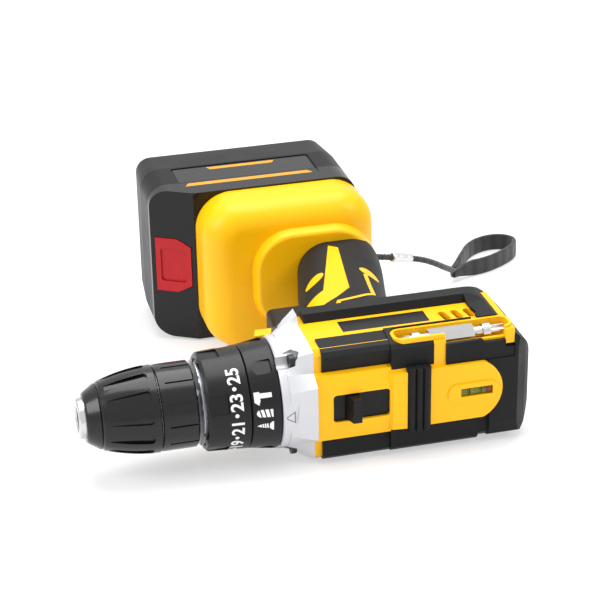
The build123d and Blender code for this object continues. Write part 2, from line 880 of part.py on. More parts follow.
nose_slope = Vector(nose_top_x - pack_front, -nose_drop, 0).normalized()
nose_plane = Plane(
    origin=((pack_front + nose_top_x) / 2, pack_top + nose_drop / 2, 0), x_dir=nose_slope,
    z_dir=Vector(nose_slope.Y, -nose_slope.X, 0),
)
with BuildPart() as pack_form:
    with BuildSketch(level(pack_top)):
        with Locations((pack_middle, 0)):
            RectangleRounded(pack_length, pack_width, pack_corner)
    extrude(amount=pack_draw_start - pack_top)
    # the base draws in all round
    with BuildSketch(level(pack_draw_start)):
        with Locations((pack_middle, 0)):
            RectangleRounded(pack_length, pack_width, pack_corner)
    extrude(amount=pack_base - pack_draw_start, taper=pack_draw)
    with BuildSketch(Plane.XY):
        outline([
            (pack_front - 5, pack_top - 5), (nose_top_x, pack_top - 5), (nose_top_x, pack_top),
            (pack_front, pack_top + nose_drop), (pack_front - 5, pack_top + nose_drop + 3),
        ])
    extrude(amount=pack_width, both=True, mode=Mode.SUBTRACT)

with BuildPart() as body_form:
    with BuildSketch(across(housing_start)):
        with BuildLine():
            crown = ThreePointArc((panel_side_y, -panel_half), (crown_y, 0), (panel_side_y, panel_half))
            Polyline(
                crown @ 1, (shoulder_y, panel_half + 0.8), (shoulder_y, body_half - 2.2),
                (shoulder_y + 2.2, body_half), (belly_y - 9.0, body_half), (belly_y - 2.5, body_half - 6.0),
                (belly_y, body_half - 13.0), (belly_y, 13.0 - body_half), (belly_y - 2.5, 6.0 - body_half),
                (belly_y - 9.0, -body_half), (shoulder_y + 2.2, -body_half), (shoulder_y, 2.2 - body_half),
                (shoulder_y, -panel_half - 0.8), crown @ 0,
            )
        make_face()
    extrude(amount=core_end_x - housing_start)
    # lip in front of the ribbed band
    with BuildSketch(Plane.XY):
        outline([
            (lip_start - 2.0, panel_side_y), (lip_start, crown_y - 0.6), (band_start, crown_y - 1.2),
            (band_start, panel_side_y + 2), (lip_start - 2.0, panel_side_y + 2),
        ])
    extrude(amount=band_half, both=True)
    # flat bed with the panel that holds the spirit level
    with BuildSketch(level(crown_y - 5)):
        with Locations(((left_block_end + housing_end) / 2, 0)):
            Rectangle(housing_end - left_block_end, 4 * body_half)
    extrude(amount=panel_bed_y - crown_y + 5, mode=Mode.SUBTRACT)
    with BuildSketch(level(panel_y)):
        with BuildLine():
            tip = ThreePointArc((panel_end - 8.0, -band_half), (panel_end, 0), (panel_end - 8.0, band_half))
            Polyline(tip @ 1, (panel_start, band_half), (panel_start, -band_half), tip @ 0)
        make_face()
    extrude(amount=shoulder_y - panel_y)
    with BuildSketch(level(panel_y - mound_height)):
        with Locations((vial_middle - 1.5, 0)):
            SlotOverall(vial_length + 8.0, 4 * vial_r)
    extrude(amount=2, taper=-10)

with BuildPart() as foot_form:
    with BuildSketch(level(foot_top)):
        with Locations((foot_middle, 0)):
            RectangleRounded(foot_length, foot_width, foot_corner)
    extrude(amount=foot_end - foot_top)
    fillet(foot_form.edges().group_by(Axis.Y)[0], radius=foot_round)
    with BuildSketch(level(foot_top + 4)):
        with Locations((dome_middle, 0)):
            RectangleRounded(dome_length, dome_width, dome_corner)
    extrude(amount=-4 - dome_height, taper=18)
    fillet(foot_form.edges().group_by(Axis.Y)[0], radius=2.0)

# ------------------------------------------------------------------------------------ rubber overmould
with BuildPart() as rubber_form:
    # bars along the lower edges of the body
    with BuildSketch(across(bar_start)):
        outline(mirrored([
            (bar_top, 0), (bar_top, body_half + 0.4), (bar_top + 1.4, bar_half), (bar_foot_y, bar_half),
            (belly_y - 3.0, body_half - 0.5), (belly_y + rubber_thickness, 15.0),
            (belly_y + rubber_thickness, 0),
        ]))
    extrude(amount=bar_end - bar_start)
    # shoulder pads and blocks
    for start, end, half, front_y in (
        (bar_start + 0.3, block_start, body_half + 0.9, panel_side_y + 0.6),
        (block_start, left_block_end, block_half, block_y),
    ):
        with BuildSketch(across(start)):
            for side in (1, -1):
                outline([
                    (front_y + 1.6, side * (panel_half + 0.2)), (front_y, side * ridge_z),
                    (front_y + 1.5, side * (ridge_z + 1.7)), (-10.8, side * half), (-8.3, side * half),
                    (-8.3, side * 20), (shoulder_y + 2.5, side * 17),
                ])
        extrude(amount=end - start)
    with BuildSketch(across(block_start)):
        for side in (1, -1):
            outline([
                (block_y, side * band_half), (block_y, side * ridge_z), (-15.0, side * ridge_z),
                (-15.0, side * band_half),
            ])
    extrude(amount=left_block_end - block_start)
    # ribbed band over the crown
    rib_pitch = (band_length - 0.6) / band_ribs
    for rib in range(band_ribs):
        with BuildSketch(Plane.XY.offset(-rib_half)):
            with Locations((band_start + 0.3 + rib_pitch * (rib + 0.5), (band_crest + crown_y + 2) / 2)):
                RectangleRounded(band_rib_width, crown_y + 2 - band_crest, band_rib_width * 0.45)
        extrude(amount=2 * rib_half)
    with BuildSketch(Plane.XY.offset(-rib_half)):
        with Locations((band_start + band_length / 2, crown_y)):
            Rectangle(band_length, 2 * (crown_y - band_crest) * 0.45)
    extrude(amount=2 * rib_half)
    # tail of the left block
    with BuildSketch(across(left_block_end)):
        outline([
            (block_y + 0.8, -band_half), (block_y + 0.8, -ridge_z + 1), (-14.5, 0.8 - block_half),
            (-8.3, 0.8 - block_half), (-8.3, -20), (-15, -band_half),
        ])
    extrude(amount=core_end_x - left_block_end)

with BuildPart() as bumper_form:
    with BuildSketch(level(bumper_y)):
        with BuildLine():
            right_side = Spline(
                (168.0, bar_half), (176.0, 27.0), (183.5, 22.5), (housing_end, 14.0),
                tangents=[(1, 0), (0.2, -1)],
            )
            Line(right_side @ 1, (housing_end, -9.0))
            left_side = Spline(
                (housing_end, -9.0), (182.5, -19.0), (175.0, -25.5), (166.0, -bar_half),
                tangents=[(-0.2, -1), (-1, 0)],
            )
            Line(left_side @ 1, right_side @ 0)
        make_face()
    extrude(amount=belly_y + rubber_thickness - bumper_y)
    with BuildSketch(Plane.XY.offset(-bar_half)):
        with BuildLine():
            top = Line((160.0, bumper_y), (179.5, bumper_y))
            heel = Polyline(top @ 1, (184.5, -16.5), (housing_end, -11.0), (housing_end, 5.0))
            back = Spline(
                heel @ 1, (184.0, 14.5), (172.0, belly_y + rubber_thickness), tangents=[(0, 1), (-1, 0.1)]
            )
            Polyline(back @ 1, (160.0, belly_y + rubber_thickness), top @ 0)
        make_face()
    extrude(amount=2 * bar_half, mode=Mode.INTERSECT)
    with BuildSketch(across(150)):
        outline(mirrored([
            (bumper_y, 0), (bumper_y, 17.0), (bumper_y + 1.2, ridge_z), (bumper_y + 3.5, ridge_z + 1.6),
            (-10.8, block_half), (bar_top - 2.0, block_half), (bar_top + 1.4, bar_half),
            (bar_foot_y, bar_half),
            (belly_y - 3.0, body_half - 0.5), (belly_y + rubber_thickness, 15.0),
            (belly_y + rubber_thickness, 0),
        ]))
    extrude(amount=40, mode=Mode.INTERSECT)

grip_outer = grip_form(0)
grip_inner = grip_form(rubber_thickness)
grip_cavity = grip_form(rubber_thickness + wall)

# the space round the handle that the rubber fills
with BuildPart() as grip_band:
    with BuildSketch(level(rubber_top)):
        with Locations((pack_middle, 0)):
            Rectangle(2 * pack_length, pack_width)
    extrude(amount=rubber_bottom - rubber_top)
    with BuildSketch(Plane.XY):
        outline(inlay_panel)
        outline(inlay_line)
        with Locations(finger_pad):
            Ellipse(5.6, 2.6, rotation=38)
        with Locations(palm_pad):
            Ellipse(5.0, 2.4, rotation=-50)
    extrude(amount=pack_width, both=True, mode=Mode.SUBTRACT)
    add(grip_inner, mode=Mode.SUBTRACT)

with BuildPart() as grip_rubber:
    add(grip_outer)
    add(grip_band.part, mode=Mode.INTERSECT)
with BuildPart() as grip_core:
    add(grip_outer)
    add(grip_band.part, mode=Mode.SUBTRACT)

# --------------------------------------------------------------------------- openings through the case
tray_bed = tray_floor - tray_wall
tray_middle = (tray_start + tray_end) / 2
tray_length = tray_end - tray_start
button_space = button_height / 2 + run_gap
lens_normal = Vector(chin_y - chin_end_y, chin_slope, 0).normalized()
lens_plane = Plane(
    origin=(chin_start + chin_slope / 2, (chin_y + chin_end_y) / 2, 0), x_dir=(0, 0, 1), z_dir=lens_normal
)
nose_screw_places = [
    (-nose_screw_circle_r * cos(radians(angle)), nose_screw_circle_r * sin(radians(angle)))
    for angle in nose_screw_angles
]

with BuildPart() as case_openings:
    # speed window, the slider's track and the way down for its pin
    with BuildSketch(level(crown_y - 5)):
        with Locations((window_start + window_length / 2, 0)):
            RectangleRounded(window_length, 2 * window_half, 1.6)
    extrude(amount=5 - crown_y + slider_y + run_gap)
    slider_travel_end = slider_start + slider_length + shift_travel + run_gap
    with BuildSketch(level(slider_y - run_gap)):
        with Locations(((slider_start + slider_travel_end) / 2, 0)):
            Rectangle(slider_travel_end - slider_start, 2 * (slider_half + run_gap))
    extrude(amount=slider_thickness + 2 * run_gap)
    with BuildSketch(level(slider_y)):
        with Locations(((slider_start + slider_travel_end) / 2, 0)):
            Rectangle(slider_travel_end - slider_start, 2 * slider_rail)
    extrude(amount=4)
    # spirit level
    with BuildSketch(across(vial_middle - vial_length / 2 - press_gap)):
        with Locations((vial_y, 0)):
            Circle(vial_r + press_gap)
        with Locations((vial_y - vial_r, 0)):
            Rectangle(2 * vial_r, 1.9 * vial_r)
    extrude(amount=vial_length + 2 * press_gap)
    # louvres beside the motor
    for index in range(louvre_count):
        with BuildSketch(Plane.XY):
            with Locations((louvre_start + index * louvre_pitch, louvre_y)):
                SlotOverall(louvre_length, louvre_width, rotation=100)
        extrude(amount=bar_half, both=True)
    # trigger, direction button and lamp
    with BuildSketch(Plane.XY):
        outline([
            (trigger_front - 5, trigger_y - slip_gap), (switch_start + 1, trigger_y - slip_gap),
            (switch_start + 1, trigger_y + trigger_height + slip_gap),
            (trigger_front - 5, trigger_y + trigger_height + slip_gap),
        ])
    extrude(amount=trigger_half + slip_gap, both=True)
    with BuildSketch(Plane.XY):
        with Locations((button_x, button_y)):
            Rectangle(button_length + 2 * run_gap, 2 * button_space)
    extrude(amount=button_half + 5, both=True)
    with BuildSketch(lens_plane.offset(-lens_length)):
        Circle(lens_r + press_gap)
    extrude(amount=lens_length + 3)
    # strap pin in its pocket
    with BuildSketch(Plane.XY):
        outline([
            (strap_pocket_start, strap_pin_y - strap_pocket_height / 2), (housing_end, strap_pin_y - 8.0),
            (housing_end, strap_pin_y + 8.0), (strap_pocket_start, strap_pin_y + strap_pocket_height / 2),
        ])
        with Locations((strap_pin_x, strap_pin_y)):
            Circle(strap_pin_r, mode=Mode.SUBTRACT)
    extrude(amount=strap_pocket_half, both=True)
    # wells and holes of the case screws
    for x, y, depth, boss in case_screws:
        with BuildSketch(Plane.XY.offset(-depth)):
            with Locations((x, y)):
                Circle(case_screw_head_r + 0.2)
        extrude(amount=-pack_width)
        with BuildSketch(Plane.XY.offset(-depth)):
            with Locations((x, y)):
                Circle(case_screw_r + press_gap)
        extrude(amount=depth + case_screw_reach + 0.5)
    # holes of the nose screws
    with BuildSketch(across(nose_screw_seat)):
        with Locations(*nose_screw_places):
            Circle(case_screw_r + press_gap)
    extrude(amount=nose_screw_shank + 0.5)

with BuildPart() as hollow:
    # motor bay
    with BuildSketch(across(housing_start)):
        Circle(bay_r)
    extrude(amount=core_end_x - wall - housing_start)
    with BuildSketch(across(housing_start + wall)):
        outline(mirrored([
            (bay_top, 0), (bay_top, bay_half - 6), (-8.0, bay_half), (bay_bottom - 5, bay_half),
            (bay_bottom, bay_half - 6), (bay_bottom, 0),
        ]))
    extrude(amount=core_end_x - housing_start - 2 * wall)
    # handle and foot
    add(grip_cavity)
    with BuildSketch(level(foot_top + foot_wall)):
        with Locations((foot_middle - 1.0, 0)):
            RectangleRounded(foot_length - 16, foot_width - 16, foot_corner - 6)
    extrude(amount=pack_top - foot_top - foot_wall - foot_floor)
    # opening for the battery shoe
    with BuildSketch(level(foot_end - 6.6)):
        with Locations((shoe_start + shoe_length / 2, 0)):
            Rectangle(shoe_length + 2 * press_gap, 2 * (shoe_half + press_gap))
    extrude(amount=8)
    # what stays solid: screw bosses, motor cradles, the bed of the bit tray and the switch's shelf
    for x, y, depth, boss in case_screws:
        with BuildSketch(Plane.XY):
            with Locations((x, y)):
                Circle(boss)
        extrude(amount=pack_width, both=True, mode=Mode.SUBTRACT)
    with BuildSketch(across(housing_start)):
        with Locations(*nose_screw_places):
            Circle(case_screw_r + 1.8)
    extrude(amount=nose_screw_shank - (housing_start - nose_screw_seat) + 2, mode=Mode.SUBTRACT)
    for x in cradles:
        with BuildSketch(across(x)):
            with Locations(((bay_bottom - body_half) / 2, 0)):
                Rectangle(bay_bottom + body_half, 2 * body_half)
            Circle(motor_r + press_gap, mode=Mode.SUBTRACT)
            with Locations((lead_y, lead_z), (lead_y, -lead_z)):
                Rectangle(3.0, 2.4, mode=Mode.SUBTRACT)
        extrude(amount=cradle_thickness, mode=Mode.SUBTRACT)
    with BuildSketch(Plane.XY.offset(tray_bed - 1.3)):
        with Locations((tray_middle, tray_y + 0.3)):
            Rectangle(tray_length + 2.4, tray_width + 2.4)
    extrude(amount=10, mode=Mode.SUBTRACT)
    with BuildSketch(level(switch_y + switch_height + press_gap)):
        with Locations(((switch_start - 7 + switch_start + switch_length + 1.5) / 2, 0)):
            Rectangle(switch_length + 8.5, 2 * body_half)
    extrude(amount=shelf_thickness, mode=Mode.SUBTRACT)

# ------------------------------------------------------------------------------------- case and rubber
clip_y = tray_y - tray_width / 2 - 2 * press_gap
clip_face = clip_y - clip_thickness
tray_space_y = tray_y + tray_width / 2 + press_gap
with BuildPart() as body_rubber:
    add(rubber_form.part)
    add(bumper_form.part)
    add(body_form.part, mode=Mode.SUBTRACT)
    # room for the bit tray on the right side
    with BuildSketch(Plane.XY.offset(band_half)):
        with Locations(((block_end + core_end_x + 0.1) / 2, (tray_space_y + bumper_y - 5) / 2)):
            Rectangle(core_end_x + 0.1 - block_end, tray_space_y - bumper_y + 5)
    extrude(amount=bar_half, mode=Mode.SUBTRACT)
    with BuildSketch(Plane.XY.offset(tray_bed - press_gap)):
        with Locations((tray_middle, tray_y)):
            RectangleRounded(tray_length + 2 * press_gap, tray_width + 2 * press_gap, tray_corner)
    extrude(amount=bar_half, mode=Mode.SUBTRACT)
    # clip that holds the stored bit
    with BuildSketch(Plane.XY.offset(band_half + press_gap)):
        with Locations(((clip_start + core_end_x + 1) / 2, (clip_face + shoulder_y) / 2)):
            Rectangle(core_end_x + 1 - clip_start, shoulder_y - clip_face)
    extrude(amount=4.5)
    with BuildSketch(level(clip_face)):
        outline([
            (clip_start, -band_half - 1), (clip_end, -band_half - 1), (clip_end, -clip_low_top),
            (clip_step_x + 1.2, -clip_low_top), (clip_step_x, -clip_top), (clip_start, -clip_top),
        ])
    extrude(amount=clip_thickness)
    add(body_form.part, mode=Mode.SUBTRACT)
    add(grip_inner, mode=Mode.SUBTRACT)

with BuildPart() as chin_form:
    with BuildSketch(Plane.XY):
        outline([
            (chin_start, chin_y), (chin_start + chin_slope, chin_end_y), (switch_start, chin_end_y),
            (switch_start, belly_y - 3), (housing_start + 0.5, belly_y - 3), (housing_start + 0.5, chin_y),
        ])
    extrude(amount=chin_half, both=True)

with BuildPart() as overmould:
    add(body_rubber.part)
    add(grip_rubber.part)
    for form in (body_form, foot_form, chin_form, case_openings):
        add(form.part, mode=Mode.SUBTRACT)

with BuildPart() as bit_tray:
    with BuildSketch(Plane.XY.offset(tray_bed)):
        with Locations((tray_middle, tray_y)):
            RectangleRounded(tray_length, tray_width, tray_corner)
    extrude(amount=tray_rim - tray_bed)
    # the arms that wrap round the clip
    arm_y = (clip_face + 0.8 + tray_y) / 2
    arm_height = tray_y - clip_face - 0.8
    with BuildSketch(Plane.XY.offset(band_half + press_gap)):
        with Locations(((block_end + clip_start) / 2, arm_y)):
            Rectangle(clip_start - block_end - 2 * press_gap, arm_height)
    extrude(amount=tray_bed - band_half + 6.0)
    with BuildSketch(Plane.XY.offset(clip_low_top - 2)):
        with Locations(((clip_end + core_end_x) / 2, arm_y)):
            Rectangle(core_end_x - clip_end - 2 * press_gap, arm_height)
    extrude(amount=tray_rim - clip_low_top + 1.2)
    add(body_form.part, mode=Mode.SUBTRACT)
    with BuildSketch(Plane.XY.offset(tray_bed)):
        with Locations((tray_middle, tray_y)):
            RectangleRounded(tray_length, tray_width, tray_corner)
    extrude(amount=tray_rim - tray_bed)
    with BuildSketch(Plane.XY.offset(tray_floor)):
        with Locations((tray_middle, tray_y)):
            RectangleRounded(tray_length - 2 * tray_wall, tray_width - 2 * tray_wall, tray_corner - tray_wall)
    extrude(amount=tray_rim, mode=Mode.SUBTRACT)
    # low wall beside the clip, so that a finger reaches the bit
    with BuildSketch(Plane.XY.offset(tray_cut_rim)):
        with Locations(((clip_start + clip_end) / 2, tray_y - tray_width / 2)):
            Rectangle(clip_end - clip_start, 2 * tray_wall)
    extrude(amount=tray_rim, mode=Mode.SUBTRACT)

with BuildPart() as case_shell:
    add(body_form.part)
    add(grip_core.part)
    add(foot_form.part)
    add(chin_form.part)
    add(body_rubber.part, mode=Mode.SUBTRACT)
    add(pack_form.part, mode=Mode.SUBTRACT)
    add(hollow.part, mode=Mode.SUBTRACT)
    add(case_openings.part, mode=Mode.SUBTRACT)
    with BuildSketch(Plane.XY.offset(tray_bed - press_gap)):
        with Locations((tray_middle, tray_y)):
            RectangleRounded(tray_length + 2 * press_gap, tray_width + 2 * press_gap, tray_corner)
    extrude(amount=bar_half, mode=Mode.SUBTRACT)

with BuildPart() as housing_right:
    add(case_shell.part)
    split(bisect_by=Plane.XY.offset(press_gap / 2), keep=Keep.TOP)
with BuildPart() as housing_left:
    add(case_shell.part)
    split(bisect_by=Plane.XY.offset(-press_gap / 2), keep=Keep.BOTTOM)
with BuildPart() as overmould_right:
    add(overmould.part)
    split(bisect_by=Plane.XY.offset(press_gap / 2), keep=Keep.TOP)
with BuildPart() as overmould_left:
    add(overmould.part)
    split(bisect_by=Plane.XY.offset(-press_gap / 2), keep=Keep.BOTTOM)

# ---------------------------------------------------------------------------------------- nose housing
nose_circle = [
    (-nose_cone_r * cos(radians(angle)), nose_cone_r * sin(radians(angle)))
    for angle in nose_angles
]
with BuildPart() as nose_housing:
    for x, half in ((nose_ring_end, nose_circle), (housing_start - press_gap, nose_section)):
        with BuildSketch(across(x)):
            outline(mirrored([(y, abs(round(z, 6))) for y, z in half]))
    loft(ruled=True)
    with BuildSketch(Plane.XY):
        outline([
            (nose_start, case_r), (nose_start, nose_ring_r - 0.7), (nose_start + 0.7, nose_ring_r),
            (nose_ring_end, nose_ring_r), (nose_ring_end, case_r),
        ])
    revolve(axis=Axis.X)
    with BuildSketch(across(nose_start)):
        Circle(case_r + press_gap)
    extrude(amount=housing_start - nose_start, mode=Mode.SUBTRACT)
    # wells of the four screws
    with BuildSketch(across(nose_start)):
        with Locations(*nose_screw_places):
            Circle(case_screw_head_r + 0.4)
    extrude(amount=nose_screw_seat - nose_start, mode=Mode.SUBTRACT)
    # sunk facets beside the wells
    for angle in nose_screw_angles:
        way = 1 if angle in nose_screw_angles[::2] else -1
        facing = Vector(0, -cos(radians(angle)), sin(radians(angle)))
        with BuildSketch(Plane(origin=facing * 22.9, x_dir=(1, 0, 0), z_dir=facing)):
            outline(
                [(79, -6.6 * way), (87.8, -0.8 * way), (89.1, 2.2 * way), (86.6, 5.0 * way), (79, 3.6 * way)]
            )
        extrude(amount=8, mode=Mode.SUBTRACT)
    # sunk field that carries the pointer
    with BuildSketch(level(-nose_field_y)):
        outline([(79, -13.5), (86.8, -9.6), (85.4, 3.0), (85.4, 12.5), (79, 13.5)])
    extrude(amount=-8, mode=Mode.SUBTRACT)
    add(case_openings.part, mode=Mode.SUBTRACT)

# --------------------------------------------------------------------------- pieces on top of the case
with BuildPart() as level_vial:
    with BuildSketch(across(vial_middle - vial_length / 2)):
        with Locations((vial_y, 0)):
            Circle(vial_r)
    extrude(amount=vial_length)
    fillet(level_vial.edges().filter_by(GeomType.CIRCLE), radius=0.4)

bit_plane = Plane(
    origin=(bit_start, tray_y, tray_floor + bit_flats / 2 + slip_gap / 2), x_dir=(0, 0, 1), z_dir=(1, 0, 0)
)
hex_start = bit_tip_length + 5.0
with BuildPart() as stored_bit:
    with BuildSketch(bit_plane.offset(hex_start)):
        RegularPolygon(bit_flats / 2, 6, major_radius=False, rotation=30)
    extrude(amount=bit_length - 2 * hex_start)
    with BuildSketch(bit_plane):
        Circle(bit_neck_r)
    extrude(amount=bit_length)
    for start in (bit_tip_length - 2.0, bit_length - bit_tip_length - 1.0):
        with BuildSketch(bit_plane.offset(start)):
            Circle(bit_flats / 2)
        extrude(amount=3.0)
    # flat blade at one end
    for side in (1, -1):
        with BuildSketch(Plane.XZ.offset(-tray_y)):
            outline([
                (bit_start - 1, bit_plane.origin.Z + side * 0.5),
                (bit_start + bit_tip_length - 2, bit_plane.origin.Z + side * 2.3),
                (bit_start + bit_tip_length - 2, bit_plane.origin.Z + side * 5),
                (bit_start - 1, bit_plane.origin.Z + side * 5),
            ])
        extrude(amount=bit_flats, both=True, mode=Mode.SUBTRACT)
    # crossed tip at the other end
    with BuildSketch(bit_plane.offset(bit_length - bit_tip_length + 2.5)):
        with PolarLocations(bit_neck_r + 0.2, 4, start_angle=45):
            Circle(1.2)
    extrude(amount=bit_tip_length, mode=Mode.SUBTRACT)

with BuildPart() as speed_slider:
    with BuildSketch(level(slider_y)):
        with Locations((slider_start + slider_length / 2, 0)):
            Rectangle(slider_length, 2 * slider_half)
    extrude(amount=slider_thickness)
    with BuildSketch(Plane.XY.offset(-lug_half)):
        outline([
            (lug_start - 2.2, slider_y), (lug_start - 0.4, lug_y + 1.4), (lug_start, lug_y),
            (lug_start + lug_length, lug_y), (lug_start + lug_length, slider_y),
        ])
    extrude(amount=2 * lug_half)
    with BuildSketch(level(slider_y + slider_thickness)):
        with Locations((shift_groove, 0)):
            Rectangle(shift_groove_width - 2 * run_gap, 2 * selector_pin_half)
    extrude(amount=-selector_pin_end_r - slider_y - slider_thickness)

# -------------------------------------------------------------------- trigger, switch, button and lamp
trigger_end_y = trigger_y + trigger_height
plunger_y = trigger_y + trigger_height / 2
plunger_plane = Plane(origin=(0, plunger_y, 0), x_dir=(0, 1, 0), z_dir=(1, 0, 0))
with BuildPart() as trigger:
    with BuildSketch(Plane.XY.offset(-trigger_half)):
        with BuildLine():
            finger = ThreePointArc(
                (trigger_front, trigger_y), (trigger_hollow, plunger_y - 1), (trigger_foot, trigger_end_y)
            )
            Polyline(finger @ 1, (trigger_back, trigger_end_y), (trigger_back, trigger_y), finger @ 0)
        make_face()
    extrude(amount=2 * trigger_half)
    fillet(trigger.edges().filter_by(GeomType.CIRCLE), radius=2.6)
    with BuildSketch(plunger_plane.offset(spring_pocket_start)):
        Circle(spring_pocket_r)
    extrude(amount=trigger_back, mode=Mode.SUBTRACT)
    with BuildSketch(plunger_plane.offset(spring_pocket_start)):
        Circle(plunger_r)
    extrude(amount=plunger_end - spring_pocket_start)

trigger_coil_r = (spring_pocket_r + plunger_r) / 2
trigger_coil_length = switch_start - spring_pocket_start - 2 * trigger_wire_r - 2 * run_gap
with BuildPart() as trigger_spring:
    with BuildLine():
        coil = Helix(
            trigger_coil_length / trigger_spring_turns, trigger_coil_length, trigger_coil_r,
            center=(spring_pocket_start + trigger_wire_r + run_gap, plunger_y, 0), direction=(1, 0, 0),
        )
    with BuildSketch(Plane(origin=coil @ 0, z_dir=coil % 0)):
        Circle(trigger_wire_r)
    sweep(path=coil, is_frenet=True)

with BuildPart() as switch_body:
    with BuildSketch(Plane.XY.offset(-switch_half)):
        outline([
            (switch_start, switch_y), (switch_start + switch_length, switch_y),
            (switch_start + switch_length, switch_y + switch_height),
            (switch_start + 4, switch_y + switch_height),
            (switch_start, switch_y + switch_height - 3),
        ])
    extrude(amount=2 * switch_half)
    with BuildSketch(plunger_plane.offset(switch_start)):
        Circle(plunger_r + run_gap)
    extrude(amount=plunger_end + trigger_travel + 1 - switch_start, mode=Mode.SUBTRACT)

with BuildPart() as direction_button:
    with BuildSketch(Plane.XY.offset(-button_half)):
        with Locations((button_x, button_y)):
            Rectangle(button_length, button_height)
    extrude(amount=2 * button_half)
    fillet(direction_button.edges().group_by(Axis.Z)[0], radius=0.8)
    fillet(direction_button.edges().group_by(Axis.Z)[-1], radius=0.8)

with BuildPart() as lamp_lens:
    with BuildSketch(lens_plane.offset(-lens_length)):
        Circle(lens_r)
    extrude(amount=lens_length + 0.5)
    fillet(lamp_lens.edges().filter_by(GeomType.CIRCLE), radius=0.4)

with BuildPart() as power_leads:
    for side in (1, -1):
        for route, radius in (
            ([
                (switch_start + switch_length + run_gap, 45, side * 3), (141.5, 45, side * 3),
                (141.5, 60, side * 3),
                (140.8, 76, side * 3), (lead_drop_x, 100, side * 3),
                (lead_drop_x, shoe_flange_top - run_gap, side * 3),
            ], 1.2),
            ([
                (128, switch_y, side * lead_z), (128, 26, side * lead_z), (134, lead_y, side * lead_z),
                (166.6, lead_y, side * lead_z), (166.6, 11.5, side * lead_z),
            ], 2.6),
        ):
            with BuildLine() as run:
                FilletPolyline(*route, radius=radius)
            with BuildSketch(Plane(origin=run.line @ 0, z_dir=run.line % 0)):
                Circle(lead_r)
            sweep(path=run.line)

def screw(seat, shank):
    """A pan head screw whose head stands on the plane seat and whose shank runs along its normal."""
    with BuildPart() as one:
        with BuildSketch(seat.offset(-case_screw_head)):
            Circle(case_screw_head_r)
        extrude(amount=case_screw_head)
        with BuildSketch(seat.offset(-press_gap)):
            Circle(case_screw_r)
        extrude(amount=shank)
        with BuildSketch(seat.offset(-case_screw_head)):
            Rectangle(3.2, 0.8)
            Rectangle(0.8, 3.2)
        extrude(amount=1.2, mode=Mode.SUBTRACT)
    return one.part


with BuildPart() as housing_screws:
    for x, y, depth, boss in case_screws:
        add(screw(Plane(origin=(x, y, -depth), z_dir=(0, 0, 1)), depth + case_screw_reach))
    for y, z in nose_screw_places:
        add(screw(Plane(origin=(nose_screw_seat, y, z), z_dir=(1, 0, 0)), nose_screw_shank))

# ---------------------------------------------------------------------------------------- battery shoe
terminal_end = shoe_start + terminal_length
with BuildPart() as battery_shoe:
    for half, start, end in (
        (shoe_half + shoe_flange, shoe_flange_top, pack_top - foot_floor - press_gap),
        (shoe_half, pack_top - foot_floor - press_gap, pack_top - slip_gap),
        (shoe_neck_half, pack_top - slip_gap, shoe_neck_end), (shoe_head_half, shoe_neck_end, shoe_end),
    ):
        with BuildSketch(level(start)):
            with Locations((shoe_start + shoe_length / 2, 0)):
                Rectangle(shoe_length - (4 if half > shoe_head_half else 0), 2 * half)
        extrude(amount=end - start)
    with BuildSketch(level(shoe_neck_end + 0.3)):
        with Locations((shoe_start + terminal_length / 2, 0)):
            Rectangle(terminal_length, 2 * terminal_half)
    extrude(amount=shoe_end, mode=Mode.SUBTRACT)

blade_y = (shoe_neck_end + shoe_end) / 2 + 0.1
with BuildPart() as contact_blades:
    for z in blade_places:
        with BuildSketch(Plane.XY.offset(z - blade_thickness / 2)):
            with Locations((terminal_end - press_gap - terminal_length / 2 + 1, blade_y)):
                Rectangle(terminal_length - 2, blade_height)
        extrude(amount=blade_thickness)

# ---------------------------------------------------------------------------------------- battery pack
rail_gap = slip_gap
tower_front = shoe_start - rail_gap
with BuildPart() as pack_case:
    add(pack_form.part)
    # badge recess on the right side
    with BuildSketch(Plane.XY.offset(pack_width / 2 - badge_depth)):
        with Locations(((badge_start + badge_end) / 2, (badge_top + badge_bottom) / 2)):
            RectangleRounded(badge_end - badge_start, badge_bottom - badge_top, 2.0)
    extrude(amount=5, mode=Mode.SUBTRACT)

